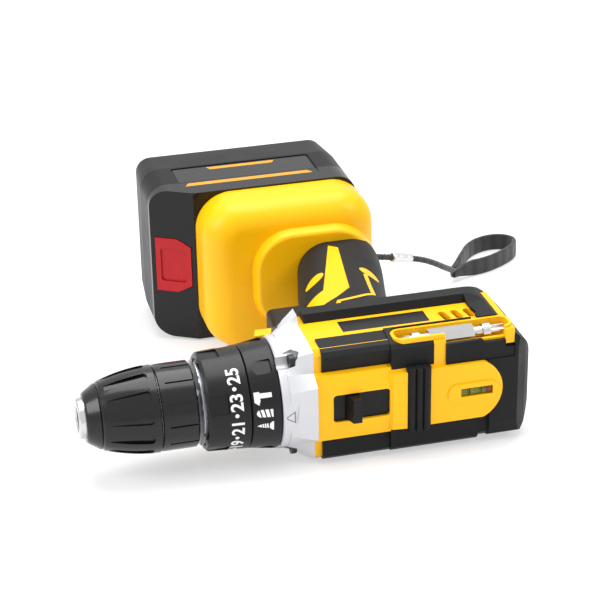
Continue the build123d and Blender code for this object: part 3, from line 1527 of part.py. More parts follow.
with BuildPart() as pack_upper:
    add(pack_case.part)
    with BuildSketch(level(pack_seam)):
        with Locations((pack_middle, 0)):
            Rectangle(2 * pack_length, 2 * pack_width)
    extrude(amount=pack_height, mode=Mode.SUBTRACT)
    # rail channel, open to the rear
    for half, start, end in (
        (shoe_neck_half + rail_gap, pack_top - 1, shoe_neck_end),
        (shoe_head_half + rail_gap, shoe_neck_end - rail_gap, channel_floor),
    ):
        with BuildSketch(level(start)):
            with Locations(((tower_front + pack_front + pack_length) / 2 + 2.5, 0)):
                Rectangle(pack_front + pack_length - tower_front + 5, 2 * half)
        extrude(amount=end - start, mode=Mode.SUBTRACT)
    # terminal tower with a slot for each blade
    tower_end = terminal_end - 1.0
    with BuildSketch(level(shoe_neck_end + 0.6)):
        with Locations(((tower_front + tower_end) / 2 - 0.5, 0)):
            Rectangle(tower_end - tower_front + 1, 2 * (terminal_half - slip_gap))
    extrude(amount=channel_floor - shoe_neck_end - 0.6)
    for z in blade_places:
        with BuildSketch(level(shoe_neck_end)):
            with Locations(((tower_front + tower_end) / 2 + 1.2, z)):
                Rectangle(tower_end - tower_front, blade_thickness + 2 * slip_gap)
        extrude(amount=channel_floor - shoe_neck_end - 0.3, mode=Mode.SUBTRACT)
    # hollow above the seam
    with BuildSketch(level(channel_floor + pack_wall)):
        with Locations((pack_middle + 9.0, 0)):
            RectangleRounded(
                pack_length - 18 - 2 * pack_wall, pack_width - 2 * pack_wall - 4, pack_corner - pack_wall
            )
    extrude(amount=pack_seam, mode=Mode.SUBTRACT)
    # pocket of the release button
    with BuildSketch(nose_plane.offset(-release_pocket)):
        outline([
            (-release_length / 2 - rail_gap, -release_half - rail_gap), (2.0, -release_half - rail_gap),
            (release_length / 2 + rail_gap, -release_narrow_half - rail_gap),
            (release_length / 2 + rail_gap, release_narrow_half + rail_gap), (2.0, release_half + rail_gap),
            (-release_length / 2 - rail_gap, release_half + rail_gap),
        ])
    extrude(amount=2 * release_pocket, mode=Mode.SUBTRACT)

with BuildPart() as cell_space:
    with BuildSketch(level(pack_seam)):
        with Locations((pack_middle, 0)):
            RectangleRounded(pack_length - 2 * pack_wall, pack_width - 2 * pack_wall, cell_space_corner)
    extrude(amount=pack_draw_start - pack_seam)
    with BuildSketch(level(pack_draw_start)):
        with Locations((pack_middle, 0)):
            RectangleRounded(pack_length - 2 * pack_wall, pack_width - 2 * pack_wall, cell_space_corner)
    extrude(amount=pack_base - pack_wall - pack_draw_start, taper=cell_space_draw)

with BuildPart() as pack_lower:
    add(pack_case.part)
    with BuildSketch(level(pack_top)):
        with Locations((pack_middle, 0)):
            Rectangle(2 * pack_length, 2 * pack_width)
    extrude(amount=pack_seam + press_gap - pack_top, mode=Mode.SUBTRACT)
    add(cell_space.part, mode=Mode.SUBTRACT)
    # saddles under the lower row of cells
    for z in (-22.0, 18.0):
        with BuildSketch(Plane.XY.offset(z)):
            with Locations((pack_middle, (cell_row_y + pack_base - pack_wall) / 2)):
                Rectangle(pack_length - 2 * pack_wall, pack_base - pack_wall - cell_row_y)
            with Locations(*[(x, cell_row_y) for x in cell_places]):
                Circle(cell_r + press_gap, mode=Mode.SUBTRACT)
        extrude(amount=4.0)

with BuildPart() as cells:
    with BuildSketch(Plane.XY.offset(-cell_length / 2)):
        with Locations(*[(x, y) for x in cell_places for y in (cell_row_y, cell_row_y - cell_pitch)]):
            Circle(cell_r)
    extrude(amount=cell_length)

with BuildPart() as pack_board:
    with BuildSketch(level(channel_floor + pack_wall + press_gap)):
        with Locations((pack_middle + 9.0, 0)):
            Rectangle(pack_length - 34, pack_width - 24)
    extrude(amount=board_thickness)

with BuildPart() as release_button:
    with BuildSketch(nose_plane.offset(release_proud - release_thickness)):
        outline([
            (-release_length / 2, -release_half), (2.0, -release_half),
            (release_length / 2, -release_narrow_half),
            (release_length / 2, release_narrow_half), (2.0, release_half),
            (-release_length / 2, release_half),
        ])
    extrude(amount=release_thickness)
    with BuildSketch(nose_plane.offset(release_proud)):
        RectangleRounded(release_length - 5, 2 * release_narrow_half - 3, 1.5)
    extrude(amount=-0.8, mode=Mode.SUBTRACT)

latch_space = release_pocket + release_proud - release_thickness
latch_coil_length = latch_space - 2 * latch_wire_r - 2 * run_gap
with BuildPart() as latch_spring:
    with BuildLine():
        latch_seat = nose_plane.offset(latch_wire_r + run_gap - release_pocket)
        coil = Helix(
            latch_coil_length / latch_spring_turns, latch_coil_length, latch_spring_r,
            center=latch_seat.origin, direction=latch_seat.z_dir,
        )
    with BuildSketch(Plane(origin=coil @ 0, z_dir=coil % 0)):
        Circle(latch_wire_r)
    sweep(path=coil, is_frenet=True)


# ----------------------------------------------------------------------------------- laying and export
# The tool lies on its left side: the left rubber bar and the upper left edge of the pack touch the floor.
lay_tilt = atan((pack_width / 2 - bar_half) / (pack_top - bar_foot_y))
pieces = {
    "chuck_body": chuck_body, "jaw_nut": jaw_nut, "chuck_sleeve": chuck_sleeve, "rear_sleeve": rear_sleeve,
    "chuck_screw": chuck_screw, "spindle": spindle, "sun_carrier": sun_carrier,
    "output_ring_gear": output_ring_gear,
    "shift_ring": shift_ring, "spindle_bearings": spindle_bearings, "gear_case": gear_case,
    "clutch_balls": clutch_balls, "clutch_washer": clutch_washer, "clutch_spring": clutch_spring,
    "detent_plate": detent_plate, "torque_ring": torque_ring, "mode_ring": mode_ring,
    "motor_plate": motor_plate,
    "motor_can": motor_can, "magnets": magnets, "armature": armature, "armature_windings": armature_windings,
    "end_bell": end_bell, "brushes": brushes, "housing_right": housing_right, "housing_left": housing_left,
    "overmould_right": overmould_right, "overmould_left": overmould_left, "nose_housing": nose_housing,
    "bit_tray": bit_tray, "stored_bit": stored_bit, "level_vial": level_vial, "speed_slider": speed_slider,
    "trigger": trigger, "trigger_spring": trigger_spring, "switch_body": switch_body,
    "direction_button": direction_button, "lamp_lens": lamp_lens, "power_leads": power_leads,
    "housing_screws": housing_screws, "battery_shoe": battery_shoe, "contact_blades": contact_blades,
    "pack_upper": pack_upper, "pack_lower": pack_lower, "cells": cells,
    "pack_board": pack_board, "release_button": release_button, "latch_spring": latch_spring,
}
for index in range(jaw_count):
    pieces[f"jaw_{index + 1}"] = jaws[index]
for index in range(planet_count):
    pieces[f"output_planet_{index + 1}"] = output_planets[index]
    pieces[f"input_planet_{index + 1}"] = input_planets[index]

tilted = Rot(X=degrees(lay_tilt))
box = Compound([tilted * piece.part for piece in pieces.values()]).bounding_box()
laying = Pos(-box.center().X, -box.center().Y, -box.min.Z) * tilted
for piece in pieces.values():
    piece.part = laying * piece.part


def corner_radii(points):
    """The largest radius of each corner of a route that leaves a tenth of its shorter run straight."""
    radii = []
    for before, corner, after in zip(points, points[1:], points[2:]):
        arriving = Vector(*corner) - Vector(*before)
        leaving = Vector(*after) - Vector(*corner)
        half_turn = radians(arriving.get_angle(leaving)) / 2
        radii.append(0.45 * min(arriving.length, leaving.length) / tan(half_turn))
    return radii


# The strap lies free: a cord from the pin, a crimped sleeve on it, and a webbing loop that stands on edge.
with BuildPart() as strap_cord:
    with BuildLine() as cord_line:
        FilletPolyline(*strap_route, radius=corner_radii(strap_route))
    with BuildSketch(Plane(origin=cord_line.line @ 0, z_dir=cord_line.line % 0)):
        Circle(strap_cord_r)
    sweep(path=cord_line.line)

crimp_from = Vector(*strap_route[1])
crimp_to = Vector(*strap_route[2])
crimp_way = (crimp_to - crimp_from).normalized()
crimp_start = crimp_from + (crimp_to - crimp_from) * crimp_share - crimp_way * (crimp_length / 2)
with BuildPart() as strap_crimp:
    with BuildSketch(Plane(origin=crimp_start, z_dir=crimp_way)):
        Circle(crimp_r)
        Circle(strap_cord_r + slip_gap, mode=Mode.SUBTRACT)
    extrude(amount=crimp_length)

with BuildPart() as strap_webbing:
    with BuildSketch(Plane.XY.offset(webbing_z - webbing_width / 2)):
        with BuildLine() as webbing_line:
            FilletPolyline(*webbing_route, radius=corner_radii([(x, y, 0) for x, y in webbing_route]))
        trace(webbing_line.line, line_width=webbing_thickness)
    extrude(amount=webbing_width)

print("strap radii", [round(radius, 1) for radius in corner_radii(strap_route)])
print("webbing radii", [round(radius, 1) for radius in corner_radii([(x, y, 0) for x, y in webbing_route])])
pieces.update({"strap_cord": strap_cord, "strap_crimp": strap_crimp, "strap_webbing": strap_webbing})

os.makedirs("parts", exist_ok=True)
for name, piece in pieces.items():
    piece.part.label = name
    export_step(piece.part, f"parts/{name}.step")
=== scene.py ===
import math

import bmesh
import bpy
from bpy.props import FloatProperty, FloatVectorProperty, PointerProperty
from mathutils import Matrix, Vector
from mathutils.bvhtree import BVHTree


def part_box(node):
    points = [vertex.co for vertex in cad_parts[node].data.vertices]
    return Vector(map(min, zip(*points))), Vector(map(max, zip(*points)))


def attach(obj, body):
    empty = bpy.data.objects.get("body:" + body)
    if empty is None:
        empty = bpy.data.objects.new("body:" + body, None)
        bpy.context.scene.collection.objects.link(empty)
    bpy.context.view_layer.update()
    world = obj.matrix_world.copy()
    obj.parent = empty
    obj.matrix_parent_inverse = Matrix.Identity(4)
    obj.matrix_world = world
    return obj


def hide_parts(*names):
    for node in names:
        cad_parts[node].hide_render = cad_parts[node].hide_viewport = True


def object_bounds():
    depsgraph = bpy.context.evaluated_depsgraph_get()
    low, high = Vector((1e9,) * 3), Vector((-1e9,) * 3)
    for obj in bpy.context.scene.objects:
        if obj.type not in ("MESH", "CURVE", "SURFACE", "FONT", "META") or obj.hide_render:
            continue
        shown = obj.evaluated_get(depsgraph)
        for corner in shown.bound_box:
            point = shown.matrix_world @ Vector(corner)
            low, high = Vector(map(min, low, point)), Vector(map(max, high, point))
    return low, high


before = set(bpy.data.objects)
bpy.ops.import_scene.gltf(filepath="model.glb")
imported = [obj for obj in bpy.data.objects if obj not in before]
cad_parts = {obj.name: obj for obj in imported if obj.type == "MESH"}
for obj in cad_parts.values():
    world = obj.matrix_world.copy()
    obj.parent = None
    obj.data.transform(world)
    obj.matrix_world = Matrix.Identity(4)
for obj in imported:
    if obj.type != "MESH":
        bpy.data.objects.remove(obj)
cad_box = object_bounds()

bl_info = {
    "name": "Cordless drill finishes",
    "version": (1, 0, 0),
    "blender": (4, 5, 0),
    "location": "View3D > Sidebar > Drill",
    "description": "Finishes, printed figures, wrist strap and studio for a cordless drill lying on its side",
    "category": "Object",
}

MM = 0.001


def linear(hex_colour):
    """Turns an sRGB hex value into the linear colour that sockets take."""
    channels = [int(hex_colour[place:place + 2], 16) / 255 for place in (1, 3, 5)]
    return tuple(c / 12.92 if c <= 0.04045 else ((c + 0.055) / 1.055) ** 2.4 for c in channels) + (1.0,)


# The tool's own frame: X backwards along the chuck axis from the nose, -Y out of the tool's top, Z out of its
# right side.
nose_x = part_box("chuck_body")[0].x
bearing_low, bearing_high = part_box("spindle_bearings")
axis_y = (bearing_low.y + bearing_high.y) / 2
axis_z = (bearing_low.z + bearing_high.z) / 2
LAY_TILT = math.radians(4.5006)
TOOL = Matrix.Translation((nose_x, axis_y, axis_z)) @ Matrix.Rotation(LAY_TILT, 4, "X")


def on_tool(x, y, z):
    """The place in the row frame of a point given in millimetres in the tool's own frame."""
    return TOOL @ Vector((x * MM, y * MM, z * MM))


# ------------------------------------------------------------------------------------------------ materials


def add_node(tree, kind, inputs=None, **settings):
    """Adds a node, sets its settings, and fills or links its sockets."""
    node = tree.nodes.new(kind)
    for name, value in settings.items():
        setattr(node, name, value)
    for socket, value in (inputs or {}).items():
        if isinstance(value, bpy.types.NodeSocket):
            tree.links.new(value, node.inputs[socket])
        else:
            node.inputs[socket].default_value = value
    return node


def blank_material(name):
    """An empty node tree in a new material, with the place on the piece as its coordinates."""
    material = bpy.data.materials.new(name)
    material.use_nodes = True
    tree = material.node_tree
    tree.nodes.clear()
    place = add_node(tree, "ShaderNodeTexCoord").outputs["Object"]
    return material, tree, place


def close_material(tree, shader):
    """Links the finished shader to the material's output."""
    add_node(tree, "ShaderNodeOutputMaterial", {"Surface": shader.outputs[0]})


def per_mm(size):
    """The scale of a noise whose features are so many millimetres wide, where coordinates are in metres."""
    return 1000.0 / size


def moulded_abs(name, colour, roughness=0.36, gleam=0.25):
    """ABS from a spark-eroded mould: the fine pitting breaks the highlight up and leaves the colour even."""
    material, tree, place = blank_material(name)
    pits = add_node(tree, "ShaderNodeTexNoise", {"Vector": place, "Scale": per_mm(0.55), "Detail": 2.0})
    flow = add_node(tree, "ShaderNodeTexNoise", {"Vector": place, "Scale": per_mm(38), "Detail": 3.0})
    gloss = add_node(tree, "ShaderNodeMapRange", {
        "Value": flow.outputs["Fac"], "From Min": 0.3, "From Max": 0.7,
        "To Min": roughness - 0.05, "To Max": roughness + 0.06})
    deeper = tuple(c * 0.93 for c in colour[:3]) + (1.0,)
    tint = add_node(tree, "ShaderNodeMix", {0: flow.outputs["Fac"], 6: deeper, 7: colour}, data_type="RGBA")
    bump = add_node(tree, "ShaderNodeBump", {
        "Height": pits.outputs["Fac"], "Strength": 0.22, "Distance": 0.04 * MM})
    shader = add_node(tree, "ShaderNodeBsdfPrincipled", {
        "Base Color": tint.outputs[2], "Roughness": gloss.outputs["Result"], "IOR": 1.53,
        "Specular IOR Level": gleam, "Normal": bump.outputs["Normal"]})
    close_material(tree, shader)
    return material


def soft_rubber(name, colour):
    """Thermoplastic rubber moulded over the case: matt and slightly dusty, with a fine leathery grain."""
    material, tree, place = blank_material(name)
    grain = add_node(tree, "ShaderNodeTexVoronoi", {"Vector": place, "Scale": per_mm(0.6)},
                     feature="SMOOTH_F1")
    dust = add_node(tree, "ShaderNodeTexNoise", {"Vector": place, "Scale": per_mm(22), "Detail": 5.0})
    lighter = tuple(c * 1.3 + 0.002 for c in colour[:3]) + (1.0,)
    tint = add_node(tree, "ShaderNodeMix", {0: dust.outputs["Fac"], 6: colour, 7: lighter}, data_type="RGBA")
    gloss = add_node(tree, "ShaderNodeMapRange", {
        "Value": dust.outputs["Fac"], "From Min": 0.3, "From Max": 0.7, "To Min": 0.5, "To Max": 0.64})
    bump = add_node(tree, "ShaderNodeBump", {
        "Height": grain.outputs["Distance"], "Strength": 0.3, "Distance": 0.05 * MM})
    shader = add_node(tree, "ShaderNodeBsdfPrincipled", {
        "Base Color": tint.outputs[2], "Roughness": gloss.outputs["Result"], "IOR": 1.5,
        "Specular IOR Level": 0.2, "Sheen Weight": 0.02, "Normal": bump.outputs["Normal"]})
    close_material(tree, shader)
    return material


def polished_nylon(name, colour, roughness, coat):
    """Glass-filled nylon from a polished mould: a tight highlight that wavers over the fibres."""
    material, tree, place = blank_material(name)
    ripple = add_node(tree, "ShaderNodeTexNoise", {"Vector": place, "Scale": per_mm(5), "Detail": 2.0})
    specks = add_node(tree, "ShaderNodeTexNoise", {"Vector": place, "Scale": per_mm(0.5), "Detail": 1.0})
    both = add_node(tree, "ShaderNodeMath", {0: ripple.outputs["Fac"], 1: specks.outputs["Fac"]},
                    operation="ADD")
    gloss = add_node(tree, "ShaderNodeMapRange", {
        "Value": specks.outputs["Fac"], "From Min": 0.3, "From Max": 0.7,
        "To Min": roughness * 0.8, "To Max": roughness * 1.25})
    bump = add_node(tree, "ShaderNodeBump", {
        "Height": both.outputs["Value"], "Strength": 0.12, "Distance": 0.05 * MM})
    shader = add_node(tree, "ShaderNodeBsdfPrincipled", {
        "Base Color": colour, "Roughness": gloss.outputs["Result"], "IOR": 1.55,
        "Specular IOR Level": 0.25, "Coat Weight": coat, "Coat Roughness": 0.12, "Coat IOR": 1.3,
        "Normal": bump.outputs["Normal"]})
    close_material(tree, shader)
    return material


def silver_lacquer(name, colour):
    """Silver lacquer over ABS: fine aluminium flakes under a satin clear coat, with a faint orange peel."""
    material, tree, place = blank_material(name)
    flakes = add_node(tree, "ShaderNodeTexVoronoi", {"Vector": place, "Scale": per_mm(0.28)})
    glint = add_node(tree, "ShaderNodeMapRange", {
        "Value": flakes.outputs["Distance"], "From Min": 0.0, "From Max": 0.8, "To Min": 0.3, "To Max": 0.48})
    peel = add_node(tree, "ShaderNodeTexNoise", {"Vector": place, "Scale": per_mm(1.6), "Detail": 2.0})
    darker = tuple(c * 0.86 for c in colour[:3]) + (1.0,)
    tint = add_node(tree, "ShaderNodeMix", {0: flakes.outputs["Distance"], 6: colour, 7: darker},
                    data_type="RGBA")
    bump = add_node(tree, "ShaderNodeBump", {
        "Height": peel.outputs["Fac"], "Strength": 0.15, "Distance": 0.05 * MM})
    shader = add_node(tree, "ShaderNodeBsdfPrincipled", {
        "Base Color": tint.outputs[2], "Metallic": 0.35, "Roughness": glint.outputs["Result"],
        "Coat Weight": 0.2, "Coat Roughness": 0.2, "Normal": bump.outputs["Normal"]})
    close_material(tree, shader)
    return material


def worked_metal(name, colour, roughness, mark, depth, direction=(1.0, 1.0, 1.0), metallic=1.0):
    """A metal with the marks of its making, so many millimetres apart, which may stretch along one way."""
    material, tree, place = blank_material(name)
    stretched = add_node(tree, "ShaderNodeMapping", {"Vector": place, "Scale": direction})
    marks = add_node(tree, "ShaderNodeTexNoise", {
        "Vector": stretched.outputs["Vector"], "Scale": per_mm(mark), "Detail": 3.0})
    stain = add_node(tree, "ShaderNodeTexNoise", {"Vector": place, "Scale": per_mm(14), "Detail": 4.0})
    gloss = add_node(tree, "ShaderNodeMapRange", {
        "Value": marks.outputs["Fac"], "From Min": 0.3, "From Max": 0.7,
        "To Min": roughness * 0.75, "To Max": roughness * 1.3})
    darker = tuple(c * 0.82 for c in colour[:3]) + (1.0,)
    tint = add_node(tree, "ShaderNodeMix", {0: stain.outputs["Fac"], 6: colour, 7: darker}, data_type="RGBA")
    bump = add_node(tree, "ShaderNodeBump", {
        "Height": marks.outputs["Fac"], "Strength": 0.3, "Distance": depth * MM})
    shader = add_node(tree, "ShaderNodeBsdfPrincipled", {
        "Base Color": tint.outputs[2], "Metallic": metallic, "Roughness": gloss.outputs["Result"],
        "Normal": bump.outputs["Normal"]})
    close_material(tree, shader)
    return material


def clear_plastic(name, colour, ior):
    """Clear cast plastic: polished faces, a slight tint, and faint flow lines from the mould."""
    material, tree, place = blank_material(name)
    flow = add_node(tree, "ShaderNodeTexNoise", {"Vector": place, "Scale": per_mm(4), "Detail": 1.0})
    bump = add_node(tree, "ShaderNodeBump", {
        "Height": flow.outputs["Fac"], "Strength": 0.08, "Distance": 0.1 * MM})
    shader = add_node(tree, "ShaderNodeBsdfPrincipled", {
        "Base Color": colour, "Roughness": 0.06, "IOR": ior, "Transmission Weight": 0.9,
        "Normal": bump.outputs["Normal"]})
    close_material(tree, shader)
    return material


# A wave texture repeats every 0.314 of a unit at scale 1, so this draws the ribs about six times as far apart
# as the rib that is given
RIB_SCALE = 0.32 / 6.2832


def woven_polyester(name, colour, rib):
    """Woven polyester: ribs of yarn across the strap, each with a painted highlight on its crown, and a soft
    sheen.
    """
    material, tree, _ = blank_material(name)
    along = add_node(tree, "ShaderNodeTexCoord").outputs["UV"]
    ribs = add_node(tree, "ShaderNodeTexWave", {"Vector": along, "Scale": per_mm(rib) * RIB_SCALE,
                                                "Distortion": 0.6, "Detail": 1.0, "Detail Scale": 3.0},
                    wave_type="BANDS", bands_direction="X")
    yarn = add_node(tree, "ShaderNodeTexNoise", {"Vector": along, "Scale": per_mm(0.35), "Detail": 3.0})
    height = add_node(tree, "ShaderNodeMath", {0: yarn.outputs["Fac"], 1: 0.35, 2: ribs.outputs["Fac"]},
                      operation="MULTIPLY_ADD")
    # Painted highlight: the colour is lightened where the rib and yarn stand highest, as if light caught each
    # crown
    painted_crown_highlight = tuple(c * 2.4 + 0.006 for c in colour[:3]) + (1.0,)
    tint = add_node(tree, "ShaderNodeMix", {0: height.outputs["Value"], 6: colour, 7: painted_crown_highlight},
                    data_type="RGBA")
    bump = add_node(tree, "ShaderNodeBump", {
        "Height": height.outputs["Value"], "Strength": 0.6, "Distance": 0.25 * MM})
    shader = add_node(tree, "ShaderNodeBsdfPrincipled", {
        "Base Color": tint.outputs[2], "Roughness": 0.78, "Sheen Weight": 0.25, "Sheen Roughness": 0.5,
        "Normal": bump.outputs["Normal"]})
    close_material(tree, shader)
    return material


def printed_ink(name, colour):
    """Printed ink: dense and slightly matt, and darker where it lies thin."""
    material, tree, place = blank_material(name)
    cover = add_node(tree, "ShaderNodeTexNoise", {"Vector": place, "Scale": per_mm(0.5), "Detail": 2.0})
    thin = tuple(c * 0.8 for c in colour[:3]) + (1.0,)
    tint = add_node(tree, "ShaderNodeMix", {0: cover.outputs["Fac"], 6: colour, 7: thin}, data_type="RGBA")
    shader = add_node(tree, "ShaderNodeBsdfPrincipled", {"Base Color": tint.outputs[2], "Roughness": 0.5})
    close_material(tree, shader)
    return material


def wound_wire(name, colour):
    """Enamelled copper wire, wound: fine bright turns side by side under an amber varnish."""
    material, tree, place = blank_material(name)
    # At this scale a diagonal wave repeats every 1.1 mm
    turns = add_node(tree, "ShaderNodeTexWave", {"Vector": place, "Scale": per_mm(3.1), "Distortion": 1.5},
                     wave_type="BANDS", bands_direction="DIAGONAL")
    bump = add_node(tree, "ShaderNodeBump", {
        "Height": turns.outputs["Fac"], "Strength": 0.7, "Distance": 0.15 * MM})
    shader = add_node(tree, "ShaderNodeBsdfPrincipled", {
        "Base Color": colour, "Metallic": 0.9, "Roughness": 0.32, "Coat Weight": 0.5,
        "Normal": bump.outputs["Normal"]})
    close_material(tree, shader)
    return material


def dress(material, *names):
    """Gives CAD nodes their finish."""
    for name in names:
        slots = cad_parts[name].data.materials
        slots.clear()
        slots.append(material)


# ------------------------------------------------------------------------------------------------ mesh making


def new_object(name, mesh):
    """A new object in the scene that holds the mesh."""
    piece = bpy.data.objects.new(name, mesh)
    bpy.context.scene.collection.objects.link(piece)
    return piece


def from_bmesh(name, made, material):
    """Closes a bmesh into a new smooth-shaded object with one material."""
    bmesh.ops.recalc_face_normals(made, faces=made.faces)
    mesh = bpy.data.meshes.new(name)
    made.to_mesh(mesh)
    made.free()
    mesh.materials.append(material)
    mesh.shade_smooth()
    return new_object(name, mesh)


def smooth_route(name, points):
    """A NURBS spline with the route's points as its control points, and the points along it."""
    curve = bpy.data.curves.new(name, "CURVE")
    curve.dimensions = "3D"
    spline = curve.splines.new("NURBS")
    spline.points.add(len(points) - 1)
    for control, point in zip(spline.points, points):
        control.co = (*point, 1.0)
    spline.order_u = 3
    spline.use_endpoint_u = True
    spline.resolution_u = 12
    guide = bpy.data.objects.new(name + "_guide", curve)
    line = bpy.data.meshes.new_from_object(guide)
    followed = [Vector(vertex.co) for vertex in line.vertices]
    bpy.data.objects.remove(guide)
    return followed


def sweep(name, path, section, material, steady=None):
    """Sweeps a closed section along a path.

    section(share, travelled) gives the section's corners, each so far beside and above the path.
    """
    made = bmesh.new()
    layer = made.loops.layers.uv.new("along")
    rings = []
    travelled = 0.0
    lengths = []
    side = None
    for index, point in enumerate(path):
        ahead = path[min(index + 1, len(path) - 1)] - path[max(index - 1, 0)]
        ahead.normalize()
        if index:
            travelled += (point - path[index - 1]).length
        if steady is not None:
            side = steady.cross(ahead).normalized()
        elif side is None:
            side = ahead.cross(Vector((0, 0, 1))).normalized()
        else:
            side = (side - ahead * side.dot(ahead)).normalized()
        above = ahead.cross(side) if steady is None else steady
        share = index / (len(path) - 1)
        corners = section(share, travelled)
        rings.append([made.verts.new(point + side * across + above * up) for across, up in corners])
        lengths.append(travelled)
    count = len(rings[0])
    for index in range(len(rings) - 1):
        for place in range(count):
            following = (place + 1) % count
            face = made.faces.new((
                rings[index][place], rings[index][following],
                rings[index + 1][following], rings[index + 1][place]))
            corners = ((index, place), (index, place + 1), (index + 1, place + 1), (index + 1, place))
            for loop, (ring, spot) in zip(face.loops, corners):
                loop[layer].uv = (lengths[ring], spot / count * 0.01)
    made.faces.new(reversed(rings[0]))
    made.faces.new(rings[-1])
    return from_bmesh(name, made, material)


def resample(path, step):
    """Points the same distance apart along a path."""
    spaced = [path[0]]
    rest = step
    for start, end in zip(path, path[1:]):
        run = (end - start).length
        while run >= rest and run > 0:
            start = start.lerp(end, rest / run)
            spaced.append(start)
            run = (end - start).length
            rest = step
        rest -= run
    if (path[-1] - spaced[-1]).length > step * 0.3:
        spaced.append(path[-1])
    else:
        spaced[-1] = path[-1]
    return spaced


# How far film or ink reaches to each side of the surface in millimetres, the font's size for figures one unit
# high, and how much bolder the figures' strokes are drawn
INK_REACH = 0.03
FONT_SIZE = 1.37
BOLDER = 0.16


def flat_figure(text, height, width_share):
    """The mesh of a line of figures, so high in millimetres, centred on its origin, with some thickness."""
    curve = bpy.data.curves.new("figure", "FONT")
    curve.body = text
    curve.size = height * FONT_SIZE
    curve.align_x = "CENTER"
    curve.extrude = INK_REACH
    curve.offset = BOLDER
    drawn = bpy.data.objects.new("figure", curve)
    mesh = bpy.data.meshes.new_from_object(drawn)
    bpy.data.objects.remove(drawn)
    mesh.transform(Matrix.Diagonal((width_share, 1.0, 1.0, 1.0)) @ Matrix.Translation((0, -height / 2, 0)))
    return mesh


def flat_outline(loops, thickness=INK_REACH):
    """The mesh of a filled drawing: closed outlines in millimetres, and its thickness to each side."""
    curve = bpy.data.curves.new("drawing", "CURVE")
    curve.dimensions = "2D"
    curve.fill_mode = "BOTH"
    curve.extrude = thickness
    for loop in loops:
        spline = curve.splines.new("POLY")
        spline.points.add(len(loop) - 1)
        for control, (across, up) in zip(spline.points, loop):
            control.co = (across, up, 0.0, 1.0)
        spline.use_cyclic_u = True
    drawn = bpy.data.objects.new("drawing", curve)
    mesh = bpy.data.meshes.new_from_object(drawn)
    bpy.data.objects.remove(drawn)
    return mesh


def rectangle(left, top, right, bottom):
    """The corners of an upright rectangle."""
    return [(left, top), (right, top), (right, bottom), (left, bottom)]


def print_on(node, drawings, material, name):
    """Lays flat drawings on a turned CAD node as ink.

    Each is its mesh, its place along the axis and its angle from the tool's top towards its right side. A
    drawing's own up is towards the chuck.
    """
    tree = BVHTree.FromObject(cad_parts[node], bpy.context.evaluated_depsgraph_get())
    made = bmesh.new()
    for mesh, along, angle in drawings:
        part = bmesh.new()
        part.from_mesh(mesh)
        bmesh.ops.triangulate(part, faces=part.faces)
        for _ in range(2):
            long_edges = [edge for edge in part.edges if edge.calc_length() > 0.9]
            bmesh.ops.subdivide_edges(part, edges=long_edges, cuts=1)
            bmesh.ops.triangulate(part, faces=part.faces)
        reach = 21.5
        for vertex in part.verts:
            across, up, lift = vertex.co
            turned = math.radians(angle) + across / reach
            outward = (TOOL.to_3x3() @ Vector((0, -math.cos(turned), math.sin(turned))))
            foot = on_tool(along - up, 0, 0)
            found, _, _, _ = tree.ray_cast(foot + outward * 0.05, -outward)
            if found is None:
                raise RuntimeError(f"no surface of {node} under a drawing at {along} mm")
            vertex.co = found + outward * lift * MM
        placed = bpy.data.meshes.new("placed")
        part.to_mesh(placed)
        part.free()
        made.from_mesh(placed)
        bpy.data.meshes.remove(placed)
    return from_bmesh(name, made, material)


def stick_on(node, mesh, material, name):
    """Lays a flat drawing in the tool's own X and Y on the right side of a CAD node, as film or ink."""
    tree = BVHTree.FromObject(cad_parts[node], bpy.context.evaluated_depsgraph_get())
    outward = TOOL.to_3x3() @ Vector((0, 0, 1))
    made = bmesh.new()
    made.from_mesh(mesh)
    for vertex in made.verts:
        along, down, lift = vertex.co
        found, _, _, _ = tree.ray_cast(on_tool(along, down, 80), -outward)
        if found is None:
            raise RuntimeError(f"no side of {node} under {name}")
        vertex.co = found + outward * lift * MM
    return from_bmesh(name, made, material)


RING_CORNERS = 32


def turned_ring(name, along, down, profile, material):
    """A piece turned about a line beside the chuck axis, from (place, radius) corners in millimetres."""
    made = bmesh.new()
    rings = []
    for spot in range(RING_CORNERS):
        angle = 2 * math.pi * spot / RING_CORNERS
        rings.append([
            made.verts.new(on_tool(along + place, down + radius * math.cos(angle), radius * math.sin(angle)))
            for place, radius in profile])
    for spot, ring in enumerate(rings):
        following = rings[(spot + 1) % len(rings)]
        for index in range(len(profile)):
            after = (index + 1) % len(profile)
            corners = [ring[index], ring[after], following[after], following[index]]
            made.faces.new(corners)
    bmesh.ops.remove_doubles(made, verts=made.verts, dist=0.001 * MM)
    bmesh.ops.dissolve_degenerate(made, edges=made.edges, dist=0.001 * MM)
    return from_bmesh(name, made, material)


def disc(radius, count=16):
    return [(radius * math.cos(2 * math.pi * i / count), radius * math.sin(2 * math.pi * i / count))
            for i in range(count)]


# ------------------------------------------------------------------------------------------------ settings


